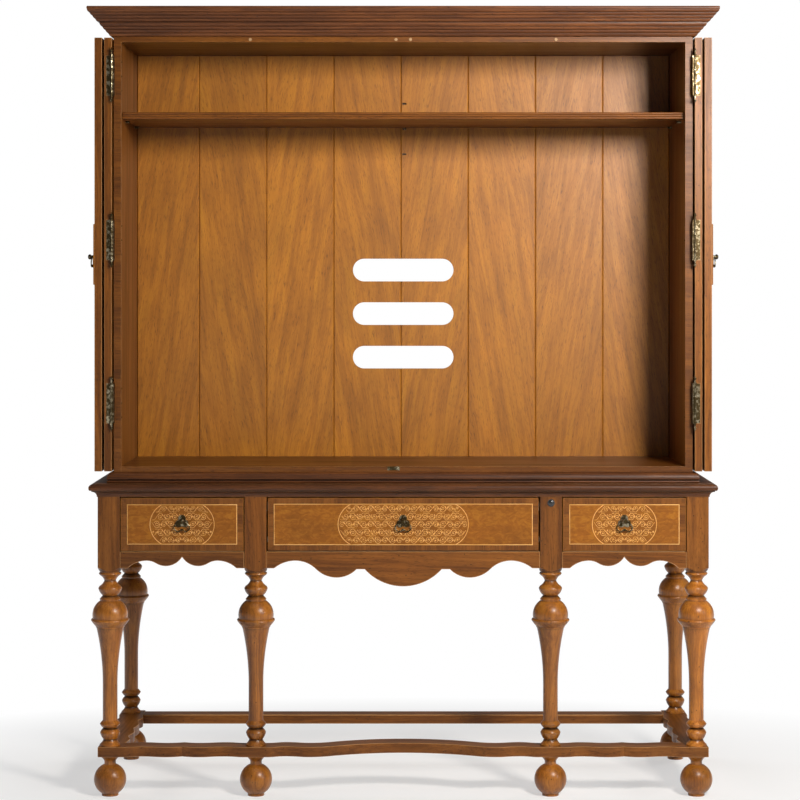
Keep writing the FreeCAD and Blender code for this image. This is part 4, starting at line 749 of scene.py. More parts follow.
def grown(name: str, source: Mesh, tree: NodeTree, values: dict[str, Any]) -> Object:
    """Runs a geometry tree on a mesh and keeps the result as a plain mesh.

    Args:
        name: Name of the resulting object.
        source: Mesh that the tree starts from.
        tree: The geometry tree.
        values: Value of each named input.

    Returns:
        An object with the finished mesh and no modifier.
    """
    piece = link(name, source)
    modifier = piece.modifiers.new("grow", "NODES")
    modifier.node_group = tree
    for item in tree.interface.items_tree:
        if item.in_out == "INPUT" and item.name in values:
            modifier[item.identifier] = values[item.name]
    return applied(piece)


def point_mesh(points: Iterable[Sequence[float]], fields: dict[str, tuple[str, Any]] | None = None,
               edges: Iterable[Sequence[int]] = ()) -> Mesh:
    """A mesh of bare points, perhaps joined in lines, with named attributes."""
    mesh = bpy.data.meshes.new("points")
    mesh.from_pydata([tuple(p) for p in points], list(edges), [])
    for name, (kind, values) in (fields or {}).items():
        set_attribute(mesh, name, kind, "POINT", np.array(values))
    return mesh


@cache
def turning_tree() -> NodeTree:
    """A lathe: the outline (radius, height) swept round and set up at every point given."""
    tree, start = new_tree("turning", {"Outline": "NodeSocketObject",
                                       "Segments": "NodeSocketInt"})
    info = node(tree, "GeometryNodeObjectInfo", {"Object": start.outputs["Outline"]},
                transform_space="ORIGINAL")
    outline = node(tree, "GeometryNodeMeshToCurve", {"Mesh": info.outputs["Geometry"]})
    # the ring is as good as a point, so that the outline's own radii count
    ring = node(tree, "GeometryNodeCurvePrimitiveCircle",
                {"Resolution": start.outputs["Segments"], "Radius": 1e-6}, mode="RADIUS")
    upright = node(tree, "GeometryNodeSetCurveNormal", {"Curve": ring}, mode="Z_UP")
    swept = node(tree, "GeometryNodeCurveToMesh", {"Curve": upright, "Profile Curve": outline})
    merged = node(tree, "GeometryNodeMergeByDistance",
                  {"Geometry": swept, "Distance": 2.0 * MERGE_DISTANCE})
    placed = node(tree, "GeometryNodeInstanceOnPoints",
                  {"Points": start.outputs["Geometry"], "Instance": merged})
    return end_tree(tree, start, placed)


@cache
def repeat_tree() -> NodeTree:
    """Sets a small piece at every point, turned by its attribute aim and scaled by size."""
    tree, start = new_tree("repeat", {"Piece": "NodeSocketObject"})
    info = node(tree, "GeometryNodeObjectInfo", {"Object": start.outputs["Piece"]},
                transform_space="ORIGINAL")
    aim = node(tree, "GeometryNodeInputNamedAttribute", {"Name": "aim"},
               data_type="FLOAT_VECTOR")
    size = node(tree, "GeometryNodeInputNamedAttribute", {"Name": "size"}, data_type="FLOAT")
    turn = node(tree, "FunctionNodeEulerToRotation", {0: aim.outputs["Attribute"]})
    placed = node(tree, "GeometryNodeInstanceOnPoints",
                  {"Points": start.outputs["Geometry"], "Instance": info.outputs["Geometry"],
                   "Rotation": turn, "Scale": size.outputs["Attribute"]})
    return end_tree(tree, start, placed)


@cache
def ribbon_tree() -> NodeTree:
    """Flat strips swept along drawn lines that lie in a plane with the given normal."""
    tree, start = new_tree("ribbon", {"Width": "NodeSocketFloat", "Thickness": "NodeSocketFloat",
                                      "Normal": "NodeSocketVector"})
    lines = node(tree, "GeometryNodeMeshToCurve", {"Mesh": start.outputs["Geometry"]})
    normal = node(tree, "GeometryNodeSetCurveNormal",
                  {"Curve": lines, "Normal": start.outputs["Normal"]}, mode="FREE")
    strip = node(tree, "GeometryNodeCurvePrimitiveQuadrilateral",
                 {"Width": start.outputs["Thickness"], "Height": start.outputs["Width"]},
                 mode="RECTANGLE")
    swept = node(tree, "GeometryNodeCurveToMesh",
                 {"Curve": normal, "Profile Curve": strip, "Fill Caps": True})
    return end_tree(tree, start, swept)


# ------------------------------------------------------------------------------ turnings
@dataclass
class Outline:
    """Points of a turned outline, each a radius and a height."""

    points: list[tuple[float, float]] = field(default_factory=list)

    def line(self, radius: float, height: float) -> "Outline":
        """Straight on to a point."""
        self.points.append((radius, height))
        return self

    def arc(self, radius: float, height: float, bulge: float, steps: int = 10) -> "Outline":
        """An arc on to a point, whose middle stands bulge out from its chord.

        Args:
            radius: Radius at the end.
            height: Height at the end.
            bulge: How far the arc stands out, negative for a cove.
            steps: Straight pieces that draw it.

        Returns:
            The outline itself.
        """
        r0, z0 = self.points[-1]
        dr, dz = radius - r0, height - z0
        chord = math.hypot(dr, dz)
        out = (dz / chord, -dr / chord)
        middle = ((r0 + radius) / 2.0, (z0 + height) / 2.0)
        sag = abs(bulge)
        reach = (chord * chord / 4.0 + sag * sag) / (2.0 * sag)
        sign = math.copysign(1.0, bulge)
        inward = sign * (sag - reach)
        centre = (middle[0] + out[0] * inward, middle[1] + out[1] * inward)
        start = math.atan2(z0 - centre[1], r0 - centre[0])
        end = math.atan2(height - centre[1], radius - centre[0])
        if sign > 0.0 and end < start:
            end += 2.0 * math.pi
        if sign < 0.0 and end > start:
            end -= 2.0 * math.pi
        for step in range(1, steps + 1):
            angle = start + (end - start) * step / steps
            self.points.append((centre[0] + reach * math.cos(angle),
                                centre[1] + reach * math.sin(angle)))
        return self

    def swell(self, radius: float, height: float, fullness: float) -> "Outline":
        """An arc on to a point that stands out by a share of its chord, negative for a cove."""
        r0, z0 = self.points[-1]
        chord = math.hypot(radius - r0, height - z0)
        return self.arc(radius, height, fullness * chord)

    def flare(self, radius: float, height: float, steps: int = 24) -> "Outline":
        """A curve that starts upright and widens like a trumpet up to a point."""
        r0, z0 = self.points[-1]
        for step in range(1, steps + 1):
            t = step / steps
            self.points.append((r0 + (radius - r0) * t * t, z0 + (height - z0) * t))
        return self

    def depths(self, reach: float = 9.0 * MM, full: float = 5.0 * MM) -> list[float]:
        """How deep each point lies in its recess.

        Args:
            reach: How far up and down its neighbours are.
            full: Depth below their swell that counts as one.

        Returns:
            The depth of each point, from 0 to 1.
        """
        found = []
        for radius, height in self.points:
            below = [r for r, z in self.points if height - reach <= z <= height]
            above = [r for r, z in self.points if height <= z <= height + reach]
            hollow = min(max(below), max(above)) - radius
            found.append(min(1.0, max(0.0, hollow / full)))
        return found


def turned(name: str, outline: Outline, places: Sequence[Sequence[float]], finish: Finish,
           segments: int = 72) -> Object:
    """Turns an outline at one or more places.

    Args:
        name: Name of the piece.
        outline: The outline, from its lower end to its upper one.
        places: Where the turning's axis meets the outline's zero height.
        finish: Finish of the piece.
        segments: Facets round it.

    Returns:
        The turned piece, whose glaze attribute darkens its recesses with glaze and painted shade.
    """
    # the deeper a point lies in its recess, the darker it is drawn: glaze and painted shade
    drawn = point_mesh([(r, -z, 0.0) for r, z in outline.points],
                       {"glaze": ("FLOAT", outline.depths())},
                       [(i, i + 1) for i in range(len(outline.points) - 1)])
    pattern = link(name + "_outline", drawn)
    piece = grown(name, point_mesh(places), turning_tree(),
                  {"Outline": pattern, "Segments": segments, "Material": finished(finish)})
    bpy.data.objects.remove(pattern)
    bm = bmesh.new()
    bm.from_mesh(piece.data)
    bmesh.ops.recalc_face_normals(bm, faces=bm.faces)
    shade(bm)
    bm.to_mesh(piece.data)
    bm.free()
    return piece


def join(name: str, parts: Sequence[Object]) -> Object:
    """Joins objects at the origin into one, keeping their attributes."""
    with bpy.context.temp_override(active_object=parts[0], object=parts[0],
                                   selected_objects=list(parts),
                                   selected_editable_objects=list(parts)):
        bpy.ops.object.join()
    parts[0].name = name
    parts[0].data.name = name
    return parts[0]


@dataclass(frozen=True)
class Turn:
    """The next point of a turning: radius and rise in millimetres, and its curve's fullness."""

    radius: float
    rise: float
    fullness: float = 0.0


@dataclass(frozen=True)
class LegTurning:
    """A leg's turned part, from the stretcher up to the post."""

    base_radius: float = 26.6 * MM
    neck_radius: float = 18.9 * MM
    trumpet_radius: float = 35.3 * MM
    trumpet_height: float = 146.0 * MM
    # rim and cove of the base, the long bead, then the ring
    lower: tuple[Turn, ...] = (Turn(26.6, 3.4), Turn(17.2, 12.9, -0.08), Turn(25.8, 17.7, 0.07),
                               Turn(17.2, 11.2, 0.07), Turn(26.3, 11.1, 0.07),
                               Turn(18.9, 9.0, 0.02))
    # fillet, slanted underside and edge of the rim, dome, collar, bulb, high neck, cup and disc
    upper: tuple[Turn, ...] = (Turn(36.8, 0.0), Turn(36.8, 2.4), Turn(49.0, 15.4, 0.03),
                               Turn(44.6, 4.8, 0.2), Turn(25.5, 45.8, 0.155), Turn(26.7, 4.3),
                               Turn(18.9, 8.9), Turn(30.1, 17.9, 0.09), Turn(25.0, 7.5, 0.1),
                               Turn(14.9, 13.0, -0.08), Turn(26.3, 14.2, -0.1), Turn(28.8, 3.4),
                               Turn(26.6, 3.8, 0.12), Turn(25.0, 0.0), Turn(25.0, 2.6))

    def follow(self, shape: Outline, turns: Sequence[Turn]) -> None:
        """Draws an outline on through a run of points."""
        for turn in turns:
            height = shape.points[-1][1] + turn.rise * MM
            if turn.fullness:
                shape.swell(turn.radius * MM, height, turn.fullness)
            else:
                shape.line(turn.radius * MM, height)

    def outline(self, bottom: float, top: float) -> Outline:
        """The outline between a stretcher's top and the underside of the post.

        Args:
            bottom: Height of the stretcher's top.
            top: Height of the post's lower end.

        Returns:
            The outline, closed at both ends on the axis.
        """
        flare_top = top - sum(turn.rise for turn in self.upper) * MM
        shape = Outline([(0.0, bottom)]).line(self.base_radius, bottom)
        self.follow(shape, self.lower)
        shape.line(self.neck_radius, flare_top - self.trumpet_height)
        shape.flare(self.trumpet_radius, flare_top)
        self.follow(shape, self.upper)
        return shape.line(0.0, top)


# ------------------------------------------------------------------------------ the stand
@dataclass
class Stand:
    """Six turned legs on ball feet, their stretchers, the aprons and the moulded top."""

    post_bevel: float = 1.2 * MM
    post_low: float = 578.0 * MM
    post_gap: float = 0.01 * MM
    rail_ease: float = 0.8 * MM
    apron_ease: float = 1.5 * MM
    stretcher_ease: float = 2.5 * MM
    top_ease: float = 0.5 * MM
    ball_radius: float = 41.5 * MM
    ball_steps: int = 36
    foot_neck: float = 14.8 * MM
    foot_neck_height: float = 88.5 * MM
    foot_collar: float = 25.0 * MM
    foot_collar_height: float = 2.5 * MM
    foot_collar_fullness: float = -0.06
    foot_pad: float = 21.4 * MM
    turning: LegTurning = field(default_factory=LegTurning)
    body: str = "cabinet"
    legs: tuple[str, ...] = ("leg_front_left", "leg_front_mid_left", "leg_front_mid_right",
                             "leg_front_right", "leg_back_left", "leg_back_right")

    def leg_axis(self, name: str) -> tuple[float, float, float]:
        """The point of the floor under a leg's axis."""
        low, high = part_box(name)
        return (low.x + high.x) / 2.0, (low.y + high.y) / 2.0, 0.0

    def build(self) -> None:
        """Makes and dresses the whole stand."""
        outline = self.turning.outline(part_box("stretcher_back")[1].z, self.post_low)
        for number, name in enumerate(self.legs):
            shaft = turned(name + "_shaft", outline, [self.leg_axis(name)], TURNED_WALNUT)
            post = eased(name + "_post", [name], self.post_bevel,
                         above=self.post_low + self.post_gap)
            # the square post keeps the case's darker walnut; the turning's lighter colour is
            # painted light
            post.data.materials.append(finished(CARCASE_WALNUT))
            whole = join(name + "_turned", [shaft, post])
            grain_boards(whole.data, 300 + number, 3.0)
            settle(whole, self.body, TURNED_WALNUT, [name])
        self.build_feet()
        for seed, name in enumerate(("stretchers_front", "stretcher_back", "stretchers_side")):
            boards([name], self.body, CARCASE_WALNUT, 41 + seed, self.stretcher_ease)
        boards(["stand_top"], self.body, MOULDING_WALNUT, 44, self.top_ease, glaze=True)
        boards(["aprons_side", "apron_middle"], self.body, CARCASE_WALNUT, 45, self.apron_ease,
               tilt=2.0, name="aprons_wood")
        boards(["stand_rails", "drawer_partitions", "drawer_runners"], self.body, CARCASE_WALNUT,
               46, self.rail_ease, name="stand_inner_wood")
        settle(eased("receiver_eye", ["ir_eye"], 0.0), self.body, LENS, ["ir_eye"])

    def build_feet(self) -> None:
        """Turns the six ball feet."""
        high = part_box("ball_feet")[1].z
        radius = self.ball_radius
        shape = Outline([(0.0, 0.0)]).line(self.foot_pad, 0.0)
        start = math.asin(-math.sqrt(1.0 - (self.foot_pad / radius) ** 2))
        end = math.acos(self.foot_neck / radius)
        for step in range(self.ball_steps + 1):
            angle = start + (end - start) * step / self.ball_steps
            shape.line(radius * math.cos(angle), radius + radius * math.sin(angle))
        shape.line(self.foot_neck, self.foot_neck_height)
        shape.swell(self.foot_collar, high - self.foot_collar_height, self.foot_collar_fullness)
        shape.line(self.foot_collar, high).line(0.0, high)
        feet = turned("ball_feet_turned", shape, [self.leg_axis(name) for name in self.legs],
                      TURNED_WALNUT)
        grain_boards(feet.data, 61, 4.0)
        settle(feet, self.body, TURNED_WALNUT, ["ball_feet"])


# ------------------------------------------------------------------------------ the case
@dataclass
class Case:
    """Sides, floor, top, boarded back, shelf, mouldings and the small fittings of the case."""

    panel_ease: float = 0.8 * MM
    lipping_ease: float = 1.6 * MM
    board_count: int = 8
    board_lean: float = 9.0
    first_board_less: float = 12.3 * MM
    joint_reach: float = 8.0 * MM
    body: str = "cabinet"

    def respace(self, mesh: Mesh) -> None:
        """Makes the first back board narrower and the next ones wider to make up for it."""
        low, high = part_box("back_boards")
        pitch = (high.x - low.x) / self.board_count
        for vert in mesh.vertices:
            joint = round((vert.co.x - low.x) / pitch)
            near = abs(vert.co.x - low.x - joint * pitch) < self.joint_reach
            if near and 0 < joint < self.board_count:
                left = (self.board_count - 1 - joint) / (self.board_count - 2)
                vert.co.x -= self.first_board_less * left

    def build_back(self) -> None:
        """Makes the back boards, whose grain leans one way and the other by turns."""
        back = eased("back_boards_wood", ["back_boards"], 0.0, glaze=True)
        self.respace(back.data)
        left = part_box("back_boards")[0].x
        width = -2.0 * left / self.board_count
        grain_boards(back.data, 21,
                     lean=lambda x, z: self.board_lean * (-1.0) ** int((x - left) / width))
        settle(back, self.body, PANEL_WALNUT, ["back_boards"])

    def build(self) -> None:
        """Makes and dresses the whole case."""
        boards(["case_side_left", "case_side_right"], self.body, CARCASE_WALNUT, 11,
               self.panel_ease, name="case_sides_wood")
        for seed, name, finish, ease, glaze in (
                (12, "case_floor", CARCASE_WALNUT, 0.0, False),
                (13, "case_top", CARCASE_WALNUT, self.panel_ease, False),
                (14, "case_lipping", CARCASE_WALNUT, self.lipping_ease, False),
                (15, "cornice", MOULDING_WALNUT, 0.0, True),
                (16, "waist_moulding", MOULDING_WALNUT, 0.0, True),
                (17, "shelf", CARCASE_WALNUT, 0.0, True)):
            boards([name], self.body, finish, seed, ease, glaze)
        self.build_back()
        boards(["back_battens"], self.body, CARCASE_WALNUT, 18, self.panel_ease)
        for name in ("shelf_pins", "door_catch", "case_hinges"):
            fitted(name, self.body, BRASS)
        fitted("door_bumpers", self.body, FELT)


# ------------------------------------------------------------------------------ marquetry
@dataclass(frozen=True)
class Ground:
    """A flat face that marquetry is let into, with its own across and up."""

    origin: Vector
    across: Vector
    up: Vector
    out: Vector

    def at(self, u: float, v: float, out: float = 0.0) -> Vector:
        """The point that lies u across, v up and out off the face."""
        return self.origin + self.across * u + self.up * v + self.out * out


Line = list[tuple[float, float]]
# Whether a disc about (u, v) of some radius lies within a panel.
Inside = Callable[[float, float, float], bool]


@dataclass
class Scrollwork:
    """What a panel is filled with: lines, leaves (u, v, angle, size) and berries (u, v, size)."""

    scrolls: list[Line] = field(default_factory=list)
    stems: list[Line] = field(default_factory=list)
    leaves: list[tuple[float, float, float, float]] = field(default_factory=list)
    berries: list[tuple[float, float, float]] = field(default_factory=list)


@dataclass
class Marquetry:
    """Boxwood lines, scrolls, leaves and berries let into a face, a hair's breadth proud of it."""

    wood: Wood = INLAY_BOXWOOD
    proud: float = 0.12 * MM
    thickness: float = 0.3 * MM
    scroll_width: float = 0.95 * MM
    scroll_radius: float = 7.8 * MM
    scroll_least: float = 3.0 * MM
    scroll_vary: Span = (0.92, 1.0)
    scroll_shrink: float = 0.8
    scroll_overlap: float = 0.8
    turn_vary: Span = (-0.4, 0.4)
    scroll_turns: float = 1.5
    scroll_steps: int = 24
    scroll_rise: float = 1.6 * MM
    eye_share: float = 0.16
    stem_width: float = 1.0 * MM
    stem_step: float = 1.6 * MM
    pitch: float = 18.5 * MM
    row: float = 20.2 * MM
    sway: float = 8.6 * MM
    leaf_length: float = 6.5 * MM
    leaf_width: float = 2.6 * MM
    leaf_bends: tuple[float, ...] = (0.7, 2.1, 3.9)
    leaf_away: Span = (1.5 * MM, 2.0 * MM)
    leaf_from_middle: float = 1.0 * MM
    leaf_vary: Span = (0.75, 1.1)
    berry_radius: float = 1.15 * MM
    berry_corners: int = 8
    eye_berry_vary: Span = (0.9, 1.3)
    crest_berry_vary: Span = (0.65, 1.0)
    crest_rise: float = 3.4 * MM
    crest_spread: float = 3.2 * MM
    blossom_size: float = 1.9
    blossom_place: float = 0.72
    blossom_spread: float = 0.7

    def spiral(self, u: float, v: float, radius: float, turn: float, hand: float) -> Line:
        """A scroll about (u, v) from its eye to its open end, which points at angle turn."""
        line = []
        for step in range(self.scroll_steps + 1):
            share = step / self.scroll_steps
            reach = radius * (self.eye_share + (1.0 - self.eye_share) * share)
            angle = turn - hand * 2.0 * math.pi * self.scroll_turns * (1.0 - share)
            line.append((u + reach * math.cos(angle), v + reach * math.sin(angle)))
        return line

    def stems(self, middle: float, shift: float, reach: float, inside: Inside) -> list[Line]:
        """The stretches of one waving stem that lie within the panel."""
        steps = int(reach / self.stem_step)
        runs, run = [], []
        for step in range(steps + 1):
            u = reach * step / steps
            v = middle + self.sway * math.sin(math.pi * (u - shift) / self.pitch)
            if inside(u, v, self.stem_width):
                run.append((u, v))
            elif run:
                runs.append(run)
                run = []
        runs.append(run)
        return [run for run in runs if len(run) > 2]

    def half(self, inside: Inside, reach: float, rise: float, seed: int) -> Scrollwork:
        """Rows of running scrolls for the half of a panel with u above nought.

        Args:
            inside: Whether a disc lies within the panel.
            reach: How far the panel goes across.
            rise: Half its height.
            seed: Seed of the small irregularities.

        Returns:
            All that grows there.
        """
        draw = random.Random(seed)
        work = Scrollwork()
        rows = max(1, round(2.0 * rise / self.row))
        for j in range(rows):
            middle = (j - (rows - 1) / 2.0) * self.row
            shift = (j % 2) * self.pitch / 2.0
            work.stems.extend(self.stems(middle, shift, reach, inside))
            for i in range(-1, int(reach / self.pitch) + 1):
                side = 1.0 if i % 2 == 0 else -1.0
                u = (i + 0.5) * self.pitch + shift
                v = middle - side * self.scroll_rise
                radius = self.scroll_radius * draw.uniform(*self.scroll_vary)
                while radius > self.scroll_least and not inside(u, v, radius):
                    radius *= self.scroll_shrink
                if u < radius * self.scroll_overlap or not inside(u, v, radius):
                    continue
                hand = -side * (1.0 if j % 2 else -1.0)
                turn = math.pi * (0.5 + 0.5 * side) + draw.uniform(*self.turn_vary)
                work.scrolls.append(self.spiral(u, v, radius, turn, hand))
                work.berries.append((u, v, draw.uniform(*self.eye_berry_vary)))
                for bend in self.leaf_bends:
                    leaf_u = i * self.pitch + shift + self.leaf_away[0] * math.cos(bend)
                    leaf_v = middle + self.leaf_away[1] * math.sin(bend)
                    if leaf_u > self.leaf_from_middle and inside(leaf_u, leaf_v,
                                                                 self.leaf_length):
                        work.leaves.append((leaf_u, leaf_v, bend * side,
                                            draw.uniform(*self.leaf_vary)))
                crest = middle + side * (self.sway + self.crest_rise)
                for across in (-self.crest_spread, 0.0, self.crest_spread):
                    if inside(u + across, crest, self.berry_radius):
                        work.berries.append((u + across, crest,
                                             draw.uniform(*self.crest_berry_vary)))
            bloom = (reach * self.blossom_place, middle)
            if j in (0, rows - 1) and inside(*bloom, self.blossom_size * self.leaf_length):
                work.leaves.extend((*bloom, math.pi / 2.0 + spread, self.blossom_size)
                                   for spread in (-self.blossom_spread, 0.0, self.blossom_spread))
        return work

    def ribbon(self, name: str, ground: Ground, lines: Sequence[Line], width: float) -> Object:
        """Strips of one width along lines drawn on the ground."""
        points, edges = [], []
        for line in lines:
            first = len(points)
            points.extend(ground.at(u, v, self.proud - self.thickness / 2.0) for u, v in line)
            edges.extend((first + k, first + k + 1) for k in range(len(line) - 1))
            if line[0] == line[-1]:
                points.pop()
                edges[-1] = (len(points) - 1, first)
        return grown(name, point_mesh(points, edges=edges), ribbon_tree(),
                     {"Width": width, "Thickness": self.thickness, "Normal": ground.out,
                      "Material": finished(self.wood)})

    def petals(self, name: str, ground: Ground, outline: Line,
               places: Sequence[tuple[float, float, float, float]]) -> Object:
        """Copies of one flat piece, given as (u, v, angle, size), set into the ground."""
        bm = bmesh.new()
        slab(bm, [(u, v, self.proud - self.thickness) for u, v in outline],
             (0.0, 0.0, self.thickness))
        bmesh.ops.recalc_face_normals(bm, faces=bm.faces)
        pattern = made_of(name + "_pattern", bm)
        axes = Matrix((ground.across, ground.up, ground.out)).transposed()
        aims = [(axes @ Matrix.Rotation(angle, 3, "Z")).to_euler() for _, _, angle, _ in places]
        points = point_mesh([ground.at(u, v) for u, v, _, _ in places],
                            {"aim": ("FLOAT_VECTOR", aims),
                             "size": ("FLOAT", [size for _, _, _, size in places])})
        piece = grown(name, points, repeat_tree(),
                      {"Piece": pattern, "Material": finished(self.wood)})
        bpy.data.objects.remove(pattern)
        return piece

    def panel(self, name: str, ground: Ground, inside: Inside, reach: float, rise: float,
              seed: int) -> list[Object]:
        """Fills a panel with scrollwork, the same on both sides of its middle.

        Args:
            name: Start of the pieces' names.
            ground: Face that it is let into.
            inside: Whether a disc lies within the panel.
            reach: How far the panel goes to each side.
            rise: Half its height.
            seed: Seed of the small irregularities.

        Returns:
            The pieces, still to be joined.
        """
        work = self.half(inside, reach, rise, seed)
        length, width = self.leaf_length, self.leaf_width
        leaf = [(length * t, width * w)
                for t, w in ((0.0, 0.0), (0.2, 0.3), (0.5, 0.5), (0.8, 0.28), (1.0, 0.0),
                             (0.8, -0.2), (0.5, -0.36), (0.2, -0.22))]
        corners = [2.0 * math.pi * k / self.berry_corners for k in range(self.berry_corners)]
        berry = [(self.berry_radius * math.cos(angle), self.berry_radius * math.sin(angle))
                 for angle in corners]
        sides = (1.0, -1.0)
        pieces = [self.ribbon(name + ending, ground,
                              [[(u * side, v) for u, v in line] for side in sides
                               for line in lines], width)
                  for ending, lines, width in (("_scrolls", work.scrolls, self.scroll_width),
                                               ("_stems", work.stems, self.stem_width))]
        leaves = [(u * side, v, angle if side > 0.0 else math.pi - angle, size)
                  for side in sides for u, v, angle, size in work.leaves]
        berries = [(u * side, v, 0.0, size) for side in sides for u, v, size in work.berries]
        return pieces + [self.petals(name + "_leaves", ground, leaf, leaves),
                         self.petals(name + "_berries", ground, berry, berries)]


# ------------------------------------------------------------------------------ drawers
def dress_pull(stem: str, body: str, bail_body: str) -> None:
    """Dresses one cast drop pull and its bail.

    Args:
        stem: Common start of its two nodes' names.
        body: Body that the plate is fixed to.
        bail_body: Body of the bail.
    """
    fitted(stem + "_pull", body, BRASS, "_cast")
    fitted(stem + "_bail", bail_body, BRASS, "_cast")


@dataclass
class Drawer:
    """One drawer: inlaid front, maple box, pull and, in the middle, the drop front's fittings."""

    side: str
    front_node: str
    front_body: str
    border: float = 17.4 * MM
    medallion_reach: float = 82.5 * MM
    medallion_margin: float = 2.0 * MM
    cap_radius: float = 57.0 * MM
    cap_width: float = 1.8 * MM
    cap_margin: float = 2.5 * MM
    cap_steps: int = 28
    string_width: float = 2.1 * MM
    banding_proud: float = 0.05 * MM
    ease: float = 0.8 * MM
    catch_ease: float = 0.6 * MM
    scroll_seed: int = 501
    marquetry: Marquetry = field(default_factory=Marquetry)

    def banding(self, low: Vector, high: Vector) -> None:
        """Makes four mitred strips of cross-banding between the stringing and the edge."""
        edge = 1.5 * self.ease
        inset = self.border - edge
        ways = ((1, 1), (-1, 1), (-1, -1), (1, -1))
        outer = [(low.x + edge if i > 0 else high.x - edge,
                  low.z + edge if k > 0 else high.z - edge) for i, k in ways]
        inner = [(x + inset * i, z + inset * k) for (x, z), (i, k) in zip(outer, ways)]
        bm = bmesh.new()
        for k in range(4):
            ring = [outer[k], outer[(k + 1) % 4], inner[(k + 1) % 4], inner[k]]
            slab(bm, [(x, low.y - self.banding_proud, z) for x, z in ring],
                 (0.0, 2.0 * self.banding_proud, 0.0))
        bmesh.ops.recalc_face_normals(bm, faces=bm.faces)
        piece = made_of("drawer_" + self.side + "_banding", bm)
        grain_boards(piece.data, 77, lean=lambda x, z: 90.0)
        settle(piece, self.front_body, BANDING_WALNUT)

    def inlay(self, low: Vector, high: Vector) -> None:
        """Lets the stringing, the medallion and its scrollwork into the front."""
        middle = Vector(((low.x + high.x) / 2.0, low.y, (low.z + high.z) / 2.0))
        ground = Ground(middle, Vector((1.0, 0.0, 0.0)), Vector((0.0, 0.0, 1.0)),
                        Vector((0.0, -1.0, 0.0)))
        across = (high.x - low.x) / 2.0 - self.border
        up = (high.z - low.z) / 2.0 - self.border
        string = [(-across, -up), (across, -up), (across, up), (-across, up), (-across, -up)]
        cap_middle = self.medallion_reach - self.cap_radius
        sweep = math.asin(up / self.cap_radius)
        angles = [sweep * (2.0 * k / self.cap_steps - 1.0) for k in range(self.cap_steps + 1)]
        caps = [[(side * (cap_middle + self.cap_radius * math.cos(angle)),
                  self.cap_radius * math.sin(angle)) for angle in angles]
                for side in (1.0, -1.0)]

        def inside(u: float, v: float, radius: float) -> bool:
            """Whether a disc lies within the medallion."""
            if abs(v) + radius > up - self.medallion_margin:
                return False
            away = math.hypot(max(u - cap_middle, 0.0), v)
            return away + radius < self.cap_radius - self.cap_margin

        stem = "drawer_" + self.side
        work = self.marquetry
        # the mitred corners of the string need a strip wider by the root of two
        parts = [work.ribbon(stem + "_string", ground, [string],
                             self.string_width * math.sqrt(2.0)),
                 work.ribbon(stem + "_caps", ground, caps, self.cap_width),
                 *work.panel(stem, ground, inside, self.medallion_reach, up,
                             self.scroll_seed)]
        for part in parts:
            part.data.materials.clear()
        whole = join(stem + "_marquetry", parts)
        grain_boards(whole.data, 78)
        settle(whole, self.front_body, work.wood)

    def build(self) -> None:
        """Makes and dresses the drawer."""
        stem, body = "drawer_" + self.side, self.side + "_drawer"
        boards([self.front_node], self.front_body, VENEER_WALNUT, 71, self.ease)
        boards([stem + "_box"], body, DRAWER_MAPLE, 72, self.ease)
        low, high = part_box(self.front_node)
        self.banding(low, high)
        self.inlay(low, high)
        dress_pull(stem, self.front_body, body + "_bail")
        if self.side == "middle":
            fitted("drawer_middle_hinges", body, BRASS)
            fitted("drawer_middle_catches", body, NYLON, "_moulded", self.catch_ease)


# ------------------------------------------------------------------------------ doors
@dataclass
class DoorPair:
    """The two leaves of one side with their hinges, half plaque and pull."""

    side: str
    seed: int
    ease: float = 1.2 * MM

    def build(self) -> None:
        """Makes and dresses both leaves."""
        stem = "leaf_" + self.side
        for number, leaf in enumerate(("outer", "inner")):
            boards([f"{stem}_{leaf}"], f"{self.side}_{leaf}_leaf", CARCASE_WALNUT,
                   self.seed + number, self.ease)
        for leaf in ("outer", "inner"):
            fitted(f"{stem}_{leaf}_hinges", f"{self.side}_{leaf}_leaf", BRASS)
        inner = self.side + "_inner_leaf"
        boards([stem + "_plaque"], inner, VENEER_WALNUT, self.seed + 2, 0.0)
        dress_pull(stem, inner, self.side + "_door_bail")


# ------------------------------------------------------------------------------ the studio
@dataclass
class Lamp:
    """A soft square lamp that looks at a point; without glare, gloss doesn't mirror it."""

    name: str
    place: tuple[float, float, float]
    target: tuple[float, float, float]
    size: float
    power: float
    colour: str = "ffffff"
    glare: bool = True

    def build(self) -> None:
        """Hangs the lamp."""
        data = bpy.data.lights.new(self.name, "AREA")
        data.shape = "SQUARE"
        data.size = self.size
        data.energy = self.power
        data.color = linear(self.colour)[:3]
        lamp = bpy.data.objects.new(self.name, data)
        bpy.context.scene.collection.objects.link(lamp)
        lamp.location = self.place
        way = Vector(self.target) - Vector(self.place)
        lamp.rotation_euler = way.to_track_quat("-Z", "Y").to_euler()
        lamp.visible_camera = False
        lamp.visible_glossy = self.glare


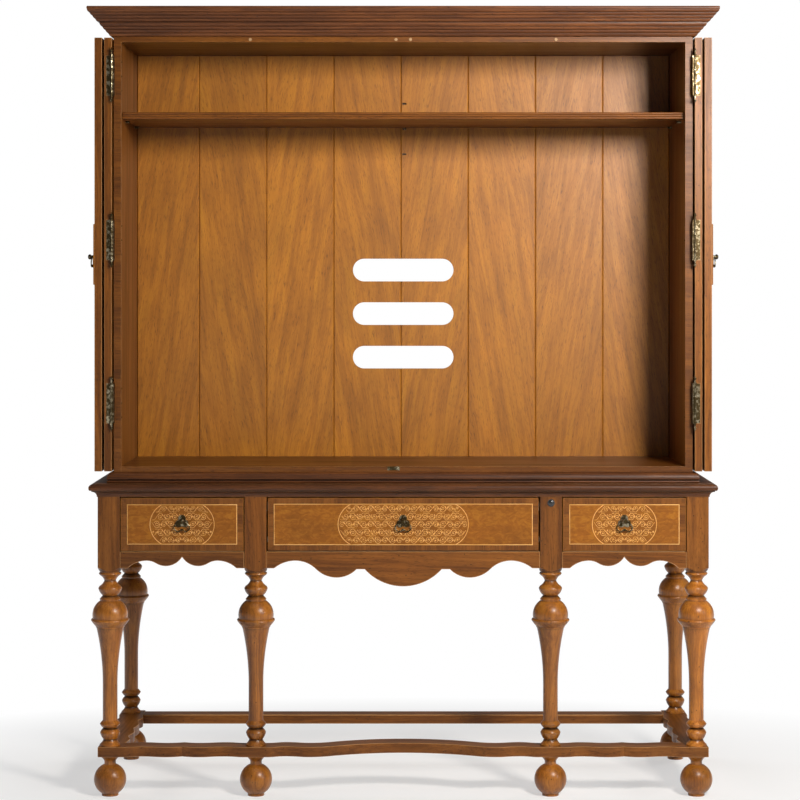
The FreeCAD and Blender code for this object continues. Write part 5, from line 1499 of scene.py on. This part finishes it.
@dataclass
class Studio:
    """Pale floor, white surroundings, soft lamps and the camera."""

    picture_size: int = 800
    focal_pixels: float = 2213.3
    centre_u: float = 403.2
    centre_v: float = 287.0
    camera_y: float = -5.93225
    camera_z: float = 1.311
    floor_reach: float = 30.0
    ambient: float = 0.012
    gloss_strength: float = 0.2
    floor_grey: str = "f2f2f2"
    floor_glow: float = 0.5
    fade_width: float = 1.6
    fade_start: float = 0.55
    fade_end: float = 1.15

    def camera(self) -> None:
        """Sets up a level camera in front of the middle of the piece."""
        data = bpy.data.cameras.new("camera")
        data.sensor_width = 36.0
        data.lens = self.focal_pixels / self.picture_size * data.sensor_width
        half = self.picture_size / 2.0
        data.shift_x = (half - self.centre_u) / self.picture_size
        data.shift_y = (self.centre_v - half) / self.picture_size
        data.clip_end = 100.0
        made = bpy.data.objects.new("camera", data)
        bpy.context.scene.collection.objects.link(made)
        made.location = (0.0, self.camera_y, self.camera_z)
        made.rotation_euler = (math.radians(90.0), 0.0, 0.0)
        bpy.context.scene.camera = made

    def rays(self, tree: NodeTree, *kinds: str) -> Any:
        """One for rays of the kinds named, nought for others."""
        path = node(tree, "ShaderNodeLightPath").outputs
        found = path[kinds[0]]
        for kind in kinds[1:]:
            found = node(tree, "ShaderNodeMath", {0: found, 1: path[kind]}, operation="MAXIMUM")
        return found

    def world(self) -> None:
        """White to the eye, dimmer to gloss, and a faint even light on the piece."""
        world = bpy.data.worlds.new("studio")
        bpy.context.scene.world = world
        world.use_nodes = True
        tree = world.node_tree
        tree.nodes.clear()
        sheen = node(tree, "ShaderNodeMapRange",
                     {"Value": self.rays(tree, "Is Glossy Ray"), "To Min": self.ambient,
                      "To Max": self.gloss_strength})
        clear = self.rays(tree, "Is Camera Ray", "Is Transmission Ray")
        strength = node(tree, "ShaderNodeMath", {0: sheen, 1: clear}, operation="MAXIMUM")
        glow = node(tree, "ShaderNodeBackground", {"Color": "ffffff", "Strength": strength})
        node(tree, "ShaderNodeOutputWorld", {"Surface": glow})

    def floor(self) -> None:
        """A pale floor that keeps the piece's shadow and fades into the white behind."""
        bm = bmesh.new()
        bmesh.ops.create_grid(bm, x_segments=1, y_segments=1, size=self.floor_reach)
        floor = made_of("floor", bm)
        material = new_material("floor_paper_white")
        tree = material.node_tree
        where = node(tree, "ShaderNodeTexCoord").outputs["Object"]
        oval = node(tree, "ShaderNodeVectorMath",
                    {0: where, 1: (1.0 / self.fade_width, 1.0, 0.0)}, operation="MULTIPLY")
        away = node(tree, "ShaderNodeVectorMath", {0: oval}, operation="LENGTH")
        glowing = node(tree, "ShaderNodeMapRange",
                       {"Value": away.outputs["Value"], "From Min": self.fade_start,
                        "From Max": self.fade_end, "To Min": self.floor_glow})
        seen = self.rays(tree, "Is Camera Ray", "Is Glossy Ray", "Is Transmission Ray")
        fade = node(tree, "ShaderNodeMath", {0: glowing, 1: seen}, operation="MULTIPLY")
        paper = node(tree, "ShaderNodeBsdfDiffuse", {"Color": self.floor_grey})
        glow = node(tree, "ShaderNodeEmission", {"Color": "ffffff", "Strength": 1.0})
        both = node(tree, "ShaderNodeMixShader", {0: fade, 1: paper, 2: glow})
        node(tree, "ShaderNodeOutputMaterial", {"Surface": both})
        floor.data.materials.append(material)

    def build(self) -> None:
        """Sets up the whole studio."""
        self.camera()
        self.world()
        self.floor()
        case, stand = (0.0, 0.0, 1.6), (0.0, 0.0, 0.4)
        key, warm = (1.28, -2.27, 2.1), "fff8f0"
        for lamp in (Lamp("key", key, case, 0.48, 66.0, warm),
                     Lamp("key_soft", key, case, 0.48, 32.0, warm, glare=False),
                     Lamp("right_front", (4.6, -3.4, 2.0), stand, 0.5, 27.0),
                     Lamp("left_front", (-3.9, -3.3, 0.9), stand, 0.28, 3.6),
                     Lamp("left_back", (-3.2, 1.8, 2.2), case, 1.4, 42.0, glare=False),
                     Lamp("right_back", (3.2, 1.8, 2.2), case, 1.4, 42.0, glare=False),
                     Lamp("top", (0.0, -0.4, 4.5), case, 3.0, 18.0)):
            lamp.build()


# ------------------------------------------------------------------------------ all together
def main() -> None:
    """Builds the studio and the armoire."""
    logging.basicConfig(level=logging.INFO, format="%(name)s: %(message)s")
    bpy.context.scene.view_settings.view_transform = "Standard"
    Studio().build()
    Stand().build()
    Case().build()
    for drawer in (Drawer("left", "drawer_left_front", "left_drawer"),
                   Drawer("middle", "drawer_middle_flap", "middle_flap", border=15.8 * MM,
                          medallion_reach=167.5 * MM),
                   Drawer("right", "drawer_right_front", "right_drawer")):
        drawer.build()
    DoorPair("left", 81).build()
    DoorPair("right", 91).build()


if __name__ == "__main__":
    main()
